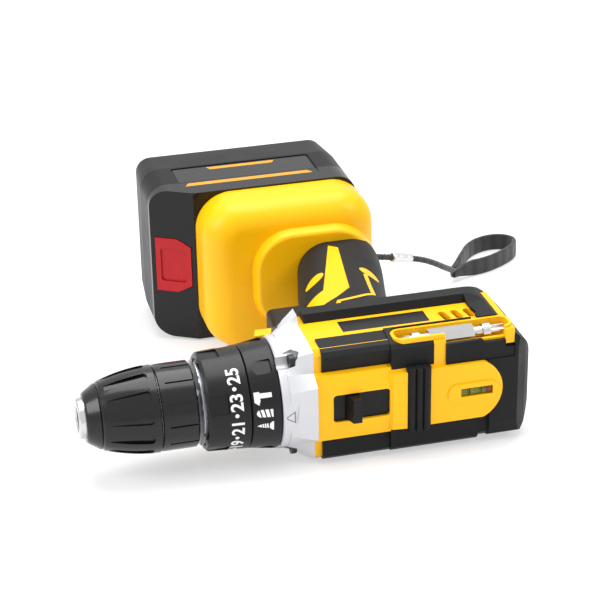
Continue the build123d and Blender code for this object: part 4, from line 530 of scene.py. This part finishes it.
class DrillColours(bpy.types.PropertyGroup):
    """The colours of the drill's finishes."""
    case: FloatVectorProperty(
        name="Case", description="Yellow of the moulded case", subtype="COLOR", size=4, min=0, max=1,
        default=linear("#FDBD04"))
    rubber: FloatVectorProperty(
        name="Rubber", description="Charcoal of the overmoulded rubber", subtype="COLOR", size=4,
        min=0, max=1,
        default=linear("#0F1011"))
    chuck: FloatVectorProperty(
        name="Chuck", description="Black of the chuck and the collars", subtype="COLOR", size=4, min=0, max=1,
        default=linear("#0C0C0E"))
    silver: FloatVectorProperty(
        name="Nose", description="Silver lacquer of the nose housing", subtype="COLOR", size=4, min=0, max=1,
        default=linear("#CFD0D4"))
    release: FloatVectorProperty(
        name="Release button", description="Red of the pack's release button", subtype="COLOR", size=4,
        min=0, max=1, default=linear("#B3141B"))
    pack: FloatVectorProperty(
        name="Pack", description="Black of the battery pack", subtype="COLOR", size=4, min=0, max=1,
        default=linear("#08090B"))
    ink: FloatVectorProperty(
        name="Ink", description="White of the printed figures", subtype="COLOR", size=4, min=0, max=1,
        default=linear("#F4F4F2"))
    webbing: FloatVectorProperty(
        name="Webbing", description="Black of the wrist strap", subtype="COLOR", size=4, min=0, max=1,
        default=linear("#141416"))
    fluid: FloatVectorProperty(
        name="Level fluid", description="Yellow-green of the spirit level", subtype="COLOR", size=4,
        min=0, max=1,
        default=linear("#C8DC3C"))


class DrillSizes(bpy.types.PropertyGroup):
    """The sizes of the pieces that are added to the CAD model."""
    figure_height: FloatProperty(
        name="Figure height", description="Height of the torque figures in millimetres", default=5.2, min=1)
    figure_step: FloatProperty(
        name="Figure step", description="Angle between neighbouring torque figures", subtype="ANGLE",
        default=math.radians(30))
    cord_width: FloatProperty(
        name="Strap cord", description="Thickness of the strap's cord", subtype="DISTANCE", unit="LENGTH",
        default=3.0 * MM)
    webbing_width: FloatProperty(
        name="Webbing width", description="Width of the strap's webbing", subtype="DISTANCE", unit="LENGTH",
        default=8.4 * MM)
    webbing_thickness: FloatProperty(
        name="Webbing thickness", description="Thickness of the strap's webbing", subtype="DISTANCE",
        unit="LENGTH", default=1.9 * MM)


class DrillStudio(bpy.types.PropertyGroup):
    """The camera and the lamps."""
    camera_place: FloatVectorProperty(
        name="Camera", description="Place of the camera", subtype="TRANSLATION", unit="LENGTH", size=3,
        default=(-0.174963, -0.791044, 0.356650))
    camera_turn: FloatVectorProperty(
        name="Camera turn", description="Rotation of the camera", subtype="EULER", size=3,
        default=tuple(math.radians(angle) for angle in (68.4236, 2.1104, -14.6344)))
    lens: FloatProperty(
        name="Lens", description="Focal length in millimetres on a 36 mm sensor", default=117.0)
    sky: FloatProperty(name="Sky", description="Strength of the even light", default=0.5, min=0)
    softbox: FloatProperty(
        name="Softbox", description="Power of the overhead softbox in watts", default=14.0, min=0)


# ------------------------------------------------------------------------------------------------ operators


class DRILL_OT_camera(bpy.types.Operator):
    """Places the camera at the height and angle of a person's eye over a bench"""
    bl_idname = "drill.camera"
    bl_label = "Camera"

    def execute(self, context):
        studio = context.scene.drill_studio
        camera = bpy.data.objects.new("camera", bpy.data.cameras.new("camera"))
        camera.location = studio.camera_place
        camera.rotation_euler = studio.camera_turn
        camera.data.lens = studio.lens
        camera.data.sensor_width = 36.0
        camera.data.clip_start = 0.01
        camera.data.clip_end = 50.0
        context.scene.collection.objects.link(camera)
        context.scene.camera = camera
        return {"FINISHED"}


# The routes of the wrist strap, in metres in the row frame
CORD_ROUTE = [
    (0.0640, 0.0399, 0.0358), (0.0730, 0.0432, 0.0334), (0.0910, 0.0502, 0.0278), (0.1006, 0.0566, 0.0224),
    (0.1104, 0.0666, 0.0146), (0.11885, 0.0815, 0.0071),
]
WEBBING_ROUTE = [
    (0.1194, 0.0826, 0.0045), (0.1275, 0.0870, 0.0045), (0.1390, 0.0890, 0.0045), (0.1510, 0.0960, 0.0045),
    (0.1600, 0.1040, 0.0045), (0.1635, 0.1115, 0.0045), (0.1605, 0.1185, 0.0045), (0.1530, 0.1210, 0.0045),
    (0.1435, 0.1175, 0.0045), (0.1360, 0.1100, 0.0045), (0.1305, 0.1005, 0.0045), (0.1255, 0.0930, 0.0045),
    (0.1216, 0.0876, 0.0045),
]
# The cord's lay in millimetres, its strands, and how far the grooves between them go in
CORD_LAY = 7.0
CORD_STRANDS = 3
GROOVE_SHARE = 0.20
CORD_STEP = 0.4 * MM
# The sleeve's start as a share of the cord, its length and radius, and the two bites of the crimping tool
SLEEVE_START = 0.18
SLEEVE_LENGTH = 0.0124
SLEEVE_RADIUS = 2.25 * MM
BITES = (0.3, 0.7)
BITE_DEPTH = 0.12
BITE_WIDTH = 0.08
# The step at each end of the sleeve, as a share of its radius and of its length
LIP_DEPTH = 0.06
LIP_SHARE = 0.05
SLEEVE_CORNERS = 28
# The webbing: the share at each end over which it is gathered, its width and thickness there as shares of the
# full ones, its pleats, and the power that squares its section
GATHERED_SHARE = 0.13
GATHERED_WIDTH = 0.42
GATHERED_THICKNESS = 1.5
PLEATS = 6
PLEAT_DEPTH = 0.25
SQUARENESS = 0.35
WEBBING_CORNERS = 24
WEBBING_STEP = 0.5 * MM


class DRILL_OT_strap(bpy.types.Operator):
    """Lays the wrist strap: a laid cord from the foot's pin, a crimped sleeve on it, and a loop of webbing"""
    bl_idname = "drill.strap"
    bl_label = "Wrist strap"

    def execute(self, context):
        sizes = context.scene.drill_sizes
        colours = context.scene.drill_colours
        cord_material = woven_polyester("polyester_cord_laid", tuple(colours.webbing), 0.9)
        webbing_material = woven_polyester("polyester_webbing_woven", tuple(colours.webbing), 1.1)
        sleeve_material = worked_metal("aluminium_crimped_sleeve", linear("#E9E9EC"), 0.3, 0.8, 0.04)

        guide = smooth_route("cord", CORD_ROUTE)
        path = resample(guide, CORD_STEP)
        radius = sizes.cord_width / 2

        def laid(share, travelled):
            twist = 2 * math.pi * travelled / (CORD_LAY * MM)
            corners = []
            for spot in range(24):
                angle = 2 * math.pi * spot / 24
                lobe = abs(math.cos((angle + twist) * CORD_STRANDS / 2))
                reach = radius * (1 - GROOVE_SHARE + GROOVE_SHARE * lobe)
                corners.append((reach * math.cos(angle), reach * math.sin(angle)))
            return corners

        cord = sweep("strap_cord_laid", path, laid, cord_material)
        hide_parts("strap_cord")
        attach(cord, "housing")

        start = int(len(path) * SLEEVE_START)
        count = int(SLEEVE_LENGTH / CORD_STEP)
        sleeve_path = path[start:start + count]

        def crimped(share, travelled):
            pinch = sum(BITE_DEPTH * math.exp(-((share - bite) / BITE_WIDTH) ** 2) for bite in BITES)
            lip = LIP_DEPTH * (share < LIP_SHARE or share > 1 - LIP_SHARE)
            corners = []
            for spot in range(SLEEVE_CORNERS):
                angle = 2 * math.pi * spot / SLEEVE_CORNERS
                reach = SLEEVE_RADIUS * (1 - pinch * abs(math.cos(angle)) - lip)
                corners.append((reach * math.cos(angle), reach * math.sin(angle)))
            return corners

        sleeve = sweep("strap_sleeve_crimped", sleeve_path, crimped, sleeve_material)
        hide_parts("strap_crimp")
        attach(sleeve, "housing")

        loop_guide = smooth_route("webbing", WEBBING_ROUTE)
        loop_path = resample(loop_guide, WEBBING_STEP)
        half = sizes.webbing_thickness / 2
        tall = sizes.webbing_width / 2

        def flat(share, travelled):
            spread = min(min(share, 1 - share) / GATHERED_SHARE, 1.0)
            spread = spread * spread * (3 - 2 * spread)
            corners = []
            thick = GATHERED_THICKNESS - (GATHERED_THICKNESS - 1) * spread
            broad = GATHERED_WIDTH + (1 - GATHERED_WIDTH) * spread
            for spot in range(WEBBING_CORNERS):
                angle = 2 * math.pi * (spot + 0.5) / WEBBING_CORNERS
                wide = math.copysign(abs(math.cos(angle)) ** SQUARENESS, math.cos(angle))
                high = math.copysign(abs(math.sin(angle)) ** SQUARENESS, math.sin(angle))
                pleat = 1 + PLEAT_DEPTH * (1 - spread) * math.cos(PLEATS * angle)
                corners.append((half * wide * pleat * thick, tall * high * broad))
            return corners

        webbing = sweep("strap_webbing_loop", loop_path, flat, webbing_material, steady=Vector((0, 0, 1)))
        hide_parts("strap_webbing")
        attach(webbing, "housing")

        return {"FINISHED"}


# The film on the right side, in millimetres behind the nose and below the chuck axis
SIDE_FILM = (110.0, -4.0, 147.0, 5.6)


class DRILL_OT_case(bpy.types.Operator):
    """Finishes the case, its rubber, the nose housing, the bit tray and the screws"""
    bl_idname = "drill.case"
    bl_label = "Case and rubber"

    def execute(self, context):
        colours = context.scene.drill_colours
        dress(moulded_abs("abs_yellow_spark_eroded", tuple(colours.case)),
              "housing_right", "housing_left", "bit_tray")
        dress(soft_rubber("tpe_overmoulded_matt", tuple(colours.rubber)), "overmould_right", "overmould_left")
        dress(silver_lacquer("abs_silver_lacquered", tuple(colours.silver)), "nose_housing")
        film = stick_on(
            "housing_right", flat_outline([rectangle(*SIDE_FILM)]),
            polished_nylon("polyester_film_satin_black", linear("#141416"), 0.34, 0.0), "side_film")
        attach(film, "housing")
        dress(worked_metal("steel_black_oxide_screw", linear("#3C3C3E"), 0.35, 0.6, 0.03), "housing_screws")
        dress(moulded_abs("abs_black_rail", tuple(colours.pack), 0.42), "battery_shoe")
        dress(worked_metal("brass_spring_blade", linear("#D9B35A"), 0.25, 0.4, 0.02, (6.0, 1.0, 1.0)),
              "contact_blades")
        return {"FINISHED"}


class DRILL_OT_chuck(bpy.types.Operator):
    """Finishes the keyless chuck: turned body, jaws, nut and its two nylon sleeves"""
    bl_idname = "drill.chuck"
    bl_label = "Chuck"

    def execute(self, context):
        colours = context.scene.drill_colours
        dress(polished_nylon("nylon_glass_filled_polished", tuple(colours.chuck), 0.24, 0.5),
              "chuck_sleeve", "rear_sleeve")
        dress(worked_metal("steel_turned_bright", linear("#D6D6D8"), 0.18, 0.35, 0.02, (8.0, 1.0, 1.0)),
              "chuck_body")
        dress(worked_metal("steel_hardened_ground", linear("#A9A9AC"), 0.26, 0.5, 0.02),
              "jaw_1", "jaw_2", "jaw_3")
        dress(worked_metal("steel_sintered_nut", linear("#55555A"), 0.45, 0.5, 0.04),
              "jaw_nut", "chuck_screw")
        return {"FINISHED"}


# The signs of the mode ring and the pointer on the nose, in millimetres
HAMMER = [[
    (-2.9, 1.7), (-2.2, 1.7), (-1.4, 1.2), (-0.1, 1.3), (0.0, -3.5), (1.8, -3.5), (1.9, 1.3), (2.5, 1.3),
    (2.5, 3.6), (-1.6, 3.6),
]]
DRILL_BANDS = [
    [(-1.6, -3.3), (1.6, -3.3), (1.6, -2.1), (-1.6, -2.7)],
    [(-1.6, -2.2), (1.6, -1.5), (1.6, -0.1), (-1.6, -0.9)],
    [(-1.6, -0.4), (1.6, 0.5), (1.6, 1.7), (-1.6, 0.9)],
    [(-1.6, 1.4), (1.5, 2.3), (0.9, 3.0), (0.0, 3.3), (-0.9, 2.9), (-1.5, 2.1)],
]
SCREW_PARTS = [
    [(-2.0, -3.3), (2.0, -3.3), (2.0, -2.8), (1.0, -1.7), (-1.0, -1.7), (-2.0, -2.8)],
    [(-0.9, -1.4), (1.2, -1.0), (1.1, -0.4), (-1.0, -0.8)],
    [(-0.9, -0.5), (1.1, -0.1), (1.0, 0.5), (-0.9, 0.1)],
    [(-0.8, 0.4), (1.0, 0.8), (0.9, 1.4), (-0.8, 1.0)],
    [(-0.7, 1.3), (0.8, 1.7), (0.0, 3.4)],
]
POINTER = [[(-2.5, -2.3), (2.5, -2.3), (0.0, 2.3)], [(-1.8, -1.85), (1.8, -1.85), (0.0, 1.4)]]
# Each with its place along the axis and its angle
SIGNS = [(HAMMER, 72.2, 24.0), (DRILL_BANDS, 72.4, 7.2), (SCREW_PARTS, 72.5, -7.6)]
POINTER_PLACE = 82.4
POINTER_ANGLE = -0.3


# The torque figures: their place along the axis, their width as a share of the font's, the highest one with
# its angle, and the lowest that still follows the stated step. Three steps lie above that one and two between
# 1 and the highest, and the nine figures below it share what is left of the turn.
FIGURE_PLACE = 61.4
FIGURE_WIDTH = 1.08
HIGHEST_FIGURE = 25
FIRST_ANGLE = 52.5
LAST_CLOSE_FIGURE = 19
CLOSE_GAPS = 5
WIDE_GAPS = 9
# The dots between them
DOT_PLACE = 61.3
DOT_RADIUS = 0.85


class DRILL_OT_collars(bpy.types.Operator):
    """Finishes the torque and mode collars and prints their figures and signs"""
    bl_idname = "drill.collars"
    bl_label = "Collars"

    def execute(self, context):
        colours = context.scene.drill_colours
        sizes = context.scene.drill_sizes
        dress(polished_nylon("nylon_collar_satin", tuple(colours.chuck), 0.36, 0.1),
              "torque_ring", "mode_ring")
        dress(worked_metal("steel_zinc_plated_detent", linear("#A6A8AC"), 0.35, 0.7, 0.03), "detent_plate")
        ink = printed_ink("ink_white_pad_printed", tuple(colours.ink))
        step = math.degrees(sizes.figure_step)
        drawings = []
        angle = FIRST_ANGLE
        for figure in range(HIGHEST_FIGURE, 0, -2):
            drawn = flat_figure(str(figure), sizes.figure_height, FIGURE_WIDTH)
            drawings.append((drawn, FIGURE_PLACE, angle))
            gap = step if figure > LAST_CLOSE_FIGURE else (360 - CLOSE_GAPS * step) / WIDE_GAPS
            if figure > 1:
                drawings.append((flat_outline([disc(DOT_RADIUS)]), DOT_PLACE, angle - gap / 2))
            angle -= gap
        torque = print_on("torque_ring", drawings, ink, "torque_figures")
        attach(torque, "torque_collar")
        signs = [(flat_outline(loops), place, turn) for loops, place, turn in SIGNS]
        mode = print_on("mode_ring", signs, ink, "mode_signs")
        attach(mode, "mode_collar")
        grey = printed_ink("ink_grey_pad_printed", linear("#77787C"))
        pointer = print_on(
            "nose_housing", [(flat_outline(POINTER), POINTER_PLACE, POINTER_ANGLE)], grey, "mode_pointer")
        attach(pointer, "housing")
        return {"FINISHED"}


class DRILL_OT_drive(bpy.types.Operator):
    """Finishes the gearbox, the clutch and the motor inside the case"""
    bl_idname = "drill.drive"
    bl_label = "Gearbox and motor"

    def execute(self, context):
        sintered = worked_metal("iron_sintered_oiled", linear("#4A4A4E"), 0.42, 0.5, 0.05)
        gears = ["sun_carrier", "output_ring_gear", "shift_ring"]
        gears += [f"{stage}_planet_{index}" for stage in ("output", "input") for index in (1, 2, 3)]
        dress(sintered, *gears)
        dress(worked_metal("steel_ground_shaft", linear("#C4C4C8"), 0.2, 0.3, 0.02, (8.0, 1.0, 1.0)),
              "spindle", "spindle_bearings", "armature")
        dress(worked_metal("steel_polished_ball", linear("#E0E0E4"), 0.08, 0.5, 0.01), "clutch_balls")
        zinc = worked_metal("steel_zinc_plated", linear("#B9BBC0"), 0.32, 1.2, 0.04)
        dress(zinc, "clutch_washer", "clutch_spring", "motor_plate", "motor_can", "trigger_spring",
              "latch_spring")
        dress(worked_metal("ferrite_pressed_magnet", linear("#38383C"), 0.6, 0.4, 0.05, metallic=0.2),
              "magnets")
        dress(worked_metal("carbon_pressed_brush", linear("#26262A"), 0.5, 0.3, 0.05, metallic=0.3),
              "brushes")
        dress(wound_wire("copper_enamelled_wire", linear("#B5642C")), "armature_windings")
        dress(moulded_abs("nylon_gear_case", linear("#26272A"), 0.5), "gear_case", "end_bell")
        return {"FINISHED"}


class DRILL_OT_controls(bpy.types.Operator):
    """Finishes the trigger, switch, direction button, speed selector, lamp and leads"""
    bl_idname = "drill.controls"
    bl_label = "Controls"

    def execute(self, context):
        colours = context.scene.drill_colours
        black = moulded_abs("abs_black_fine_texture", tuple(colours.pack), 0.4)
        dress(black, "speed_slider", "trigger", "switch_body", "direction_button")
        dress(clear_plastic("polycarbonate_lamp_lens", linear("#EEF4FA"), 1.58), "lamp_lens")
        dress(moulded_abs("pvc_lead_sheath", linear("#B3191E"), 0.45), "power_leads")
        return {"FINISHED"}


# The pack's films and the bars printed on them, in millimetres behind the nose and below the chuck axis, and
# how far to each side the bars reach so that they stand out of the films
UPPER_FILM = (72.5, 136.6, 137.5, 141.2)
LOWER_FILM = (72.5, 141.8, 137.5, 158.4)
WIDE_BAR = [(74.5, 137.2), (135.5, 137.2), (133.5, 140.4), (76.5, 140.4)]
SHORT_BAR = [(90.0, 154.6), (120.0, 154.6), (121.5, 157.4), (88.5, 157.4)]
OVER_FILM = 0.08


class DRILL_OT_battery(bpy.types.Operator):
    """Finishes the battery pack, its release button and its cells"""
    bl_idname = "drill.battery"
    bl_label = "Battery pack"

    def execute(self, context):
        colours = context.scene.drill_colours
        dress(polished_nylon("nylon_pack_polished", tuple(colours.pack), 0.3, 0.25), "pack_upper")
        dress(moulded_abs("nylon_pack_textured", tuple(colours.pack), 0.4, 0.16), "pack_lower")
        dress(moulded_abs("abs_red_polished", tuple(colours.release), 0.26), "release_button")
        dress(moulded_abs("pvc_cell_wrap", linear("#2458A8"), 0.25), "cells")
        dress(moulded_abs("fibreglass_board_lacquered", linear("#1E5B34"), 0.3), "pack_board")
        film_finish = polished_nylon("polyester_film_gloss_black", linear("#060607"), 0.16, 0.3)
        ink_finish = printed_ink("ink_amber_screen_printed", linear("#E39A16"))
        stuck = [
            stick_on("pack_upper", flat_outline([rectangle(*UPPER_FILM)]), film_finish, "pack_film_upper"),
            stick_on("pack_lower", flat_outline([rectangle(*LOWER_FILM)]), film_finish, "pack_film_lower"),
            stick_on("pack_upper", flat_outline([WIDE_BAR], OVER_FILM), ink_finish, "pack_stripe_upper"),
            stick_on("pack_lower", flat_outline([SHORT_BAR], OVER_FILM), ink_finish, "pack_stripe_lower"),
        ]
        for piece in stuck:
            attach(piece, "battery_pack")
        return {"FINISHED"}


# The spirit level, in millimetres: its axis, which lies above the chuck axis and so has a negative value,
# where its lines, bubble and plug are along it from its middle, and what is turned about it
VIAL_DOWN = -21.4
LINE_PLACES = (-3.2, 1.8)
BUBBLE_PLACE = -0.7
BUBBLE_RISE = 0.9
PLUG_PLACE = 5.4
SIGHT_LINE = [(-0.25, 1.98), (0.25, 1.98), (0.25, 2.04), (-0.25, 2.04)]
BUBBLE = [(-2.0, 0.0), (-1.6, 0.55), (-0.8, 0.85), (0.8, 0.85), (1.6, 0.55), (2.0, 0.0)]
PLUG = [(-1.2, 0.0), (-1.2, 2.03), (1.3, 2.03), (1.3, 0.0)]


class DRILL_OT_level(bpy.types.Operator):
    """Finishes the spirit level and the stored bit"""
    bl_idname = "drill.level"
    bl_label = "Level and bit"

    def execute(self, context):
        colours = context.scene.drill_colours
        dress(clear_plastic("acrylic_level_tube", tuple(colours.fluid), 1.49), "level_vial")
        dress(worked_metal("steel_satin_nickel_bit", linear("#D2D2D0"), 0.2, 0.7, 0.02), "stored_bit")
        middle = (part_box("level_vial")[0].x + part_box("level_vial")[1].x) / 2 - nose_x
        middle /= MM
        black = printed_ink("paint_black_sight_line", linear("#101010"))
        for index, place in enumerate(LINE_PLACES):
            line = turned_ring(f"level_line_{index + 1}", middle + place, VIAL_DOWN, SIGHT_LINE, black)
            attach(line, "housing")
        bubble = turned_ring(
            "level_bubble", middle + BUBBLE_PLACE, VIAL_DOWN - BUBBLE_RISE, BUBBLE,
            clear_plastic("air_in_the_level", linear("#F4F8D0"), 1.0))
        plug = turned_ring(
            "level_plug", middle + PLUG_PLACE, VIAL_DOWN, PLUG,
            moulded_abs("polyethylene_level_plug", linear("#7A3A22"), 0.4))
        for piece in (bubble, plug):
            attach(piece, "housing")
        return {"FINISHED"}


# In metres: where the floor starts to fade to plain white and where the fading ends, how far it lies
# below the tool, and what the lamps are turned towards
SHADOW_REACH = 0.35
WHITE_REACH = 1.2
FLOOR_GAP = 0.0001
LIT_POINT = (0.0, 0.0, 0.03)


class DRILL_OT_stage(bpy.types.Operator):
    """Lays a white floor and sets an even sky with a soft overhead box and a strip on each side"""
    bl_idname = "drill.stage"
    bl_label = "Studio"

    def execute(self, context):
        scene = context.scene
        studio = scene.drill_studio
        made = bmesh.new()
        bmesh.ops.create_grid(made, x_segments=8, y_segments=8, size=4.0)
        material, tree, _ = blank_material("paper_white_sweep")
        rays = add_node(tree, "ShaderNodeLightPath")
        camera_or_glossy = add_node(tree, "ShaderNodeMath", {
            0: rays.outputs["Is Camera Ray"], 1: rays.outputs["Is Glossy Ray"]}, operation="MAXIMUM")
        seen = add_node(tree, "ShaderNodeMath", {
            0: camera_or_glossy.outputs["Value"], 1: rays.outputs["Is Transmission Ray"]},
            operation="MAXIMUM")
        ground = add_node(tree, "ShaderNodeNewGeometry")
        reach = add_node(tree, "ShaderNodeVectorMath", {0: ground.outputs["Position"]}, operation="LENGTH")
        faded = add_node(tree, "ShaderNodeMapRange", {
            "Value": reach.outputs["Value"], "From Min": SHADOW_REACH, "From Max": WHITE_REACH,
            "To Min": 0.5, "To Max": 1.0})
        share = add_node(tree, "ShaderNodeMath", {
            0: seen.outputs["Value"], 1: faded.outputs["Result"]}, operation="MULTIPLY")
        paper = add_node(tree, "ShaderNodeBsdfDiffuse", {"Color": (0.93, 0.93, 0.94, 1.0)})
        white = add_node(tree, "ShaderNodeEmission", {"Color": (1.0, 1.0, 1.0, 1.0), "Strength": 1.04})
        mixed = add_node(tree, "ShaderNodeMixShader", {
            0: share.outputs["Value"], 1: paper.outputs["BSDF"], 2: white.outputs["Emission"]})
        close_material(tree, mixed)
        floor = from_bmesh("floor", made, material)
        floor.location.z = min(cad_box[0].z, 0.0) - FLOOR_GAP

        world = bpy.data.worlds.new("studio")
        scene.world = world
        world.use_nodes = True
        sky = world.node_tree
        sky.nodes.clear()
        sky_rays = add_node(sky, "ShaderNodeLightPath")
        sky_direct = add_node(sky, "ShaderNodeMath", {
            0: sky_rays.outputs["Is Camera Ray"], 1: sky_rays.outputs["Is Glossy Ray"]}, operation="MAXIMUM")
        sky_seen = add_node(sky, "ShaderNodeMath", {
            0: sky_direct.outputs["Value"], 1: sky_rays.outputs["Is Transmission Ray"]}, operation="MAXIMUM")
        even = add_node(sky, "ShaderNodeBackground", {"Color": (1.0, 1.0, 1.0, 1.0), "Strength": studio.sky})
        backdrop = add_node(sky, "ShaderNodeBackground", {"Color": (1.0, 1.0, 1.0, 1.0), "Strength": 1.0})
        sky_mix = add_node(sky, "ShaderNodeMixShader", {
            0: sky_seen.outputs["Value"], 1: even.outputs["Background"], 2: backdrop.outputs["Background"]})
        add_node(sky, "ShaderNodeOutputWorld", {"Surface": sky_mix.outputs["Shader"]})

        for name, place, size, power in (
                ("softbox_overhead", (0.1, 0.15, 1.1), 1.0, studio.softbox),
                ("strip_left", (-0.9, -0.2, 0.7), 0.6, studio.softbox * 0.5),
                ("strip_right", (0.8, -0.7, 0.8), 0.5, studio.softbox * 0.35)):
            lamp = bpy.data.lights.new(name, "AREA")
            lamp.shape = "SQUARE"
            lamp.size = size
            lamp.energy = power
            holder = bpy.data.objects.new(name, lamp)
            holder.location = place
            aim = Vector(LIT_POINT) - Vector(place)
            holder.rotation_euler = aim.to_track_quat("-Z", "Y").to_euler()
            scene.collection.objects.link(holder)
        scene.view_settings.view_transform = "Standard"
        return {"FINISHED"}


class DRILL_PT_panel(bpy.types.Panel):
    """Lists the drill's settings and its operators"""
    bl_idname = "DRILL_PT_panel"
    bl_label = "Cordless drill"
    bl_space_type = "VIEW_3D"
    bl_region_type = "UI"
    bl_category = "Drill"

    def draw(self, context):
        for group in (context.scene.drill_colours, context.scene.drill_sizes, context.scene.drill_studio):
            for name in group.__annotations__:
                self.layout.prop(group, name)
        for operator in OPERATORS:
            self.layout.operator(operator.bl_idname)


OPERATORS = (
    DRILL_OT_camera, DRILL_OT_strap, DRILL_OT_case, DRILL_OT_chuck, DRILL_OT_collars, DRILL_OT_drive,
    DRILL_OT_controls, DRILL_OT_battery, DRILL_OT_level, DRILL_OT_stage,
)
GROUPS = (DrillColours, DrillSizes, DrillStudio)


def register():
    for listed in GROUPS + OPERATORS + (DRILL_PT_panel,):
        bpy.utils.register_class(listed)
    bpy.types.Scene.drill_colours = PointerProperty(type=DrillColours)
    bpy.types.Scene.drill_sizes = PointerProperty(type=DrillSizes)
    bpy.types.Scene.drill_studio = PointerProperty(type=DrillStudio)


def unregister():
    del bpy.types.Scene.drill_colours
    del bpy.types.Scene.drill_sizes
    del bpy.types.Scene.drill_studio
    for listed in reversed(GROUPS + OPERATORS + (DRILL_PT_panel,)):
        bpy.utils.unregister_class(listed)


def main():
    register()
    bpy.ops.drill.camera()
    bpy.ops.drill.strap()
    bpy.ops.drill.case()
    bpy.ops.drill.chuck()
    bpy.ops.drill.collars()
    bpy.ops.drill.drive()
    bpy.ops.drill.controls()
    bpy.ops.drill.battery()
    bpy.ops.drill.level()
    bpy.ops.drill.stage()


if __name__ == "__main__":
    main()
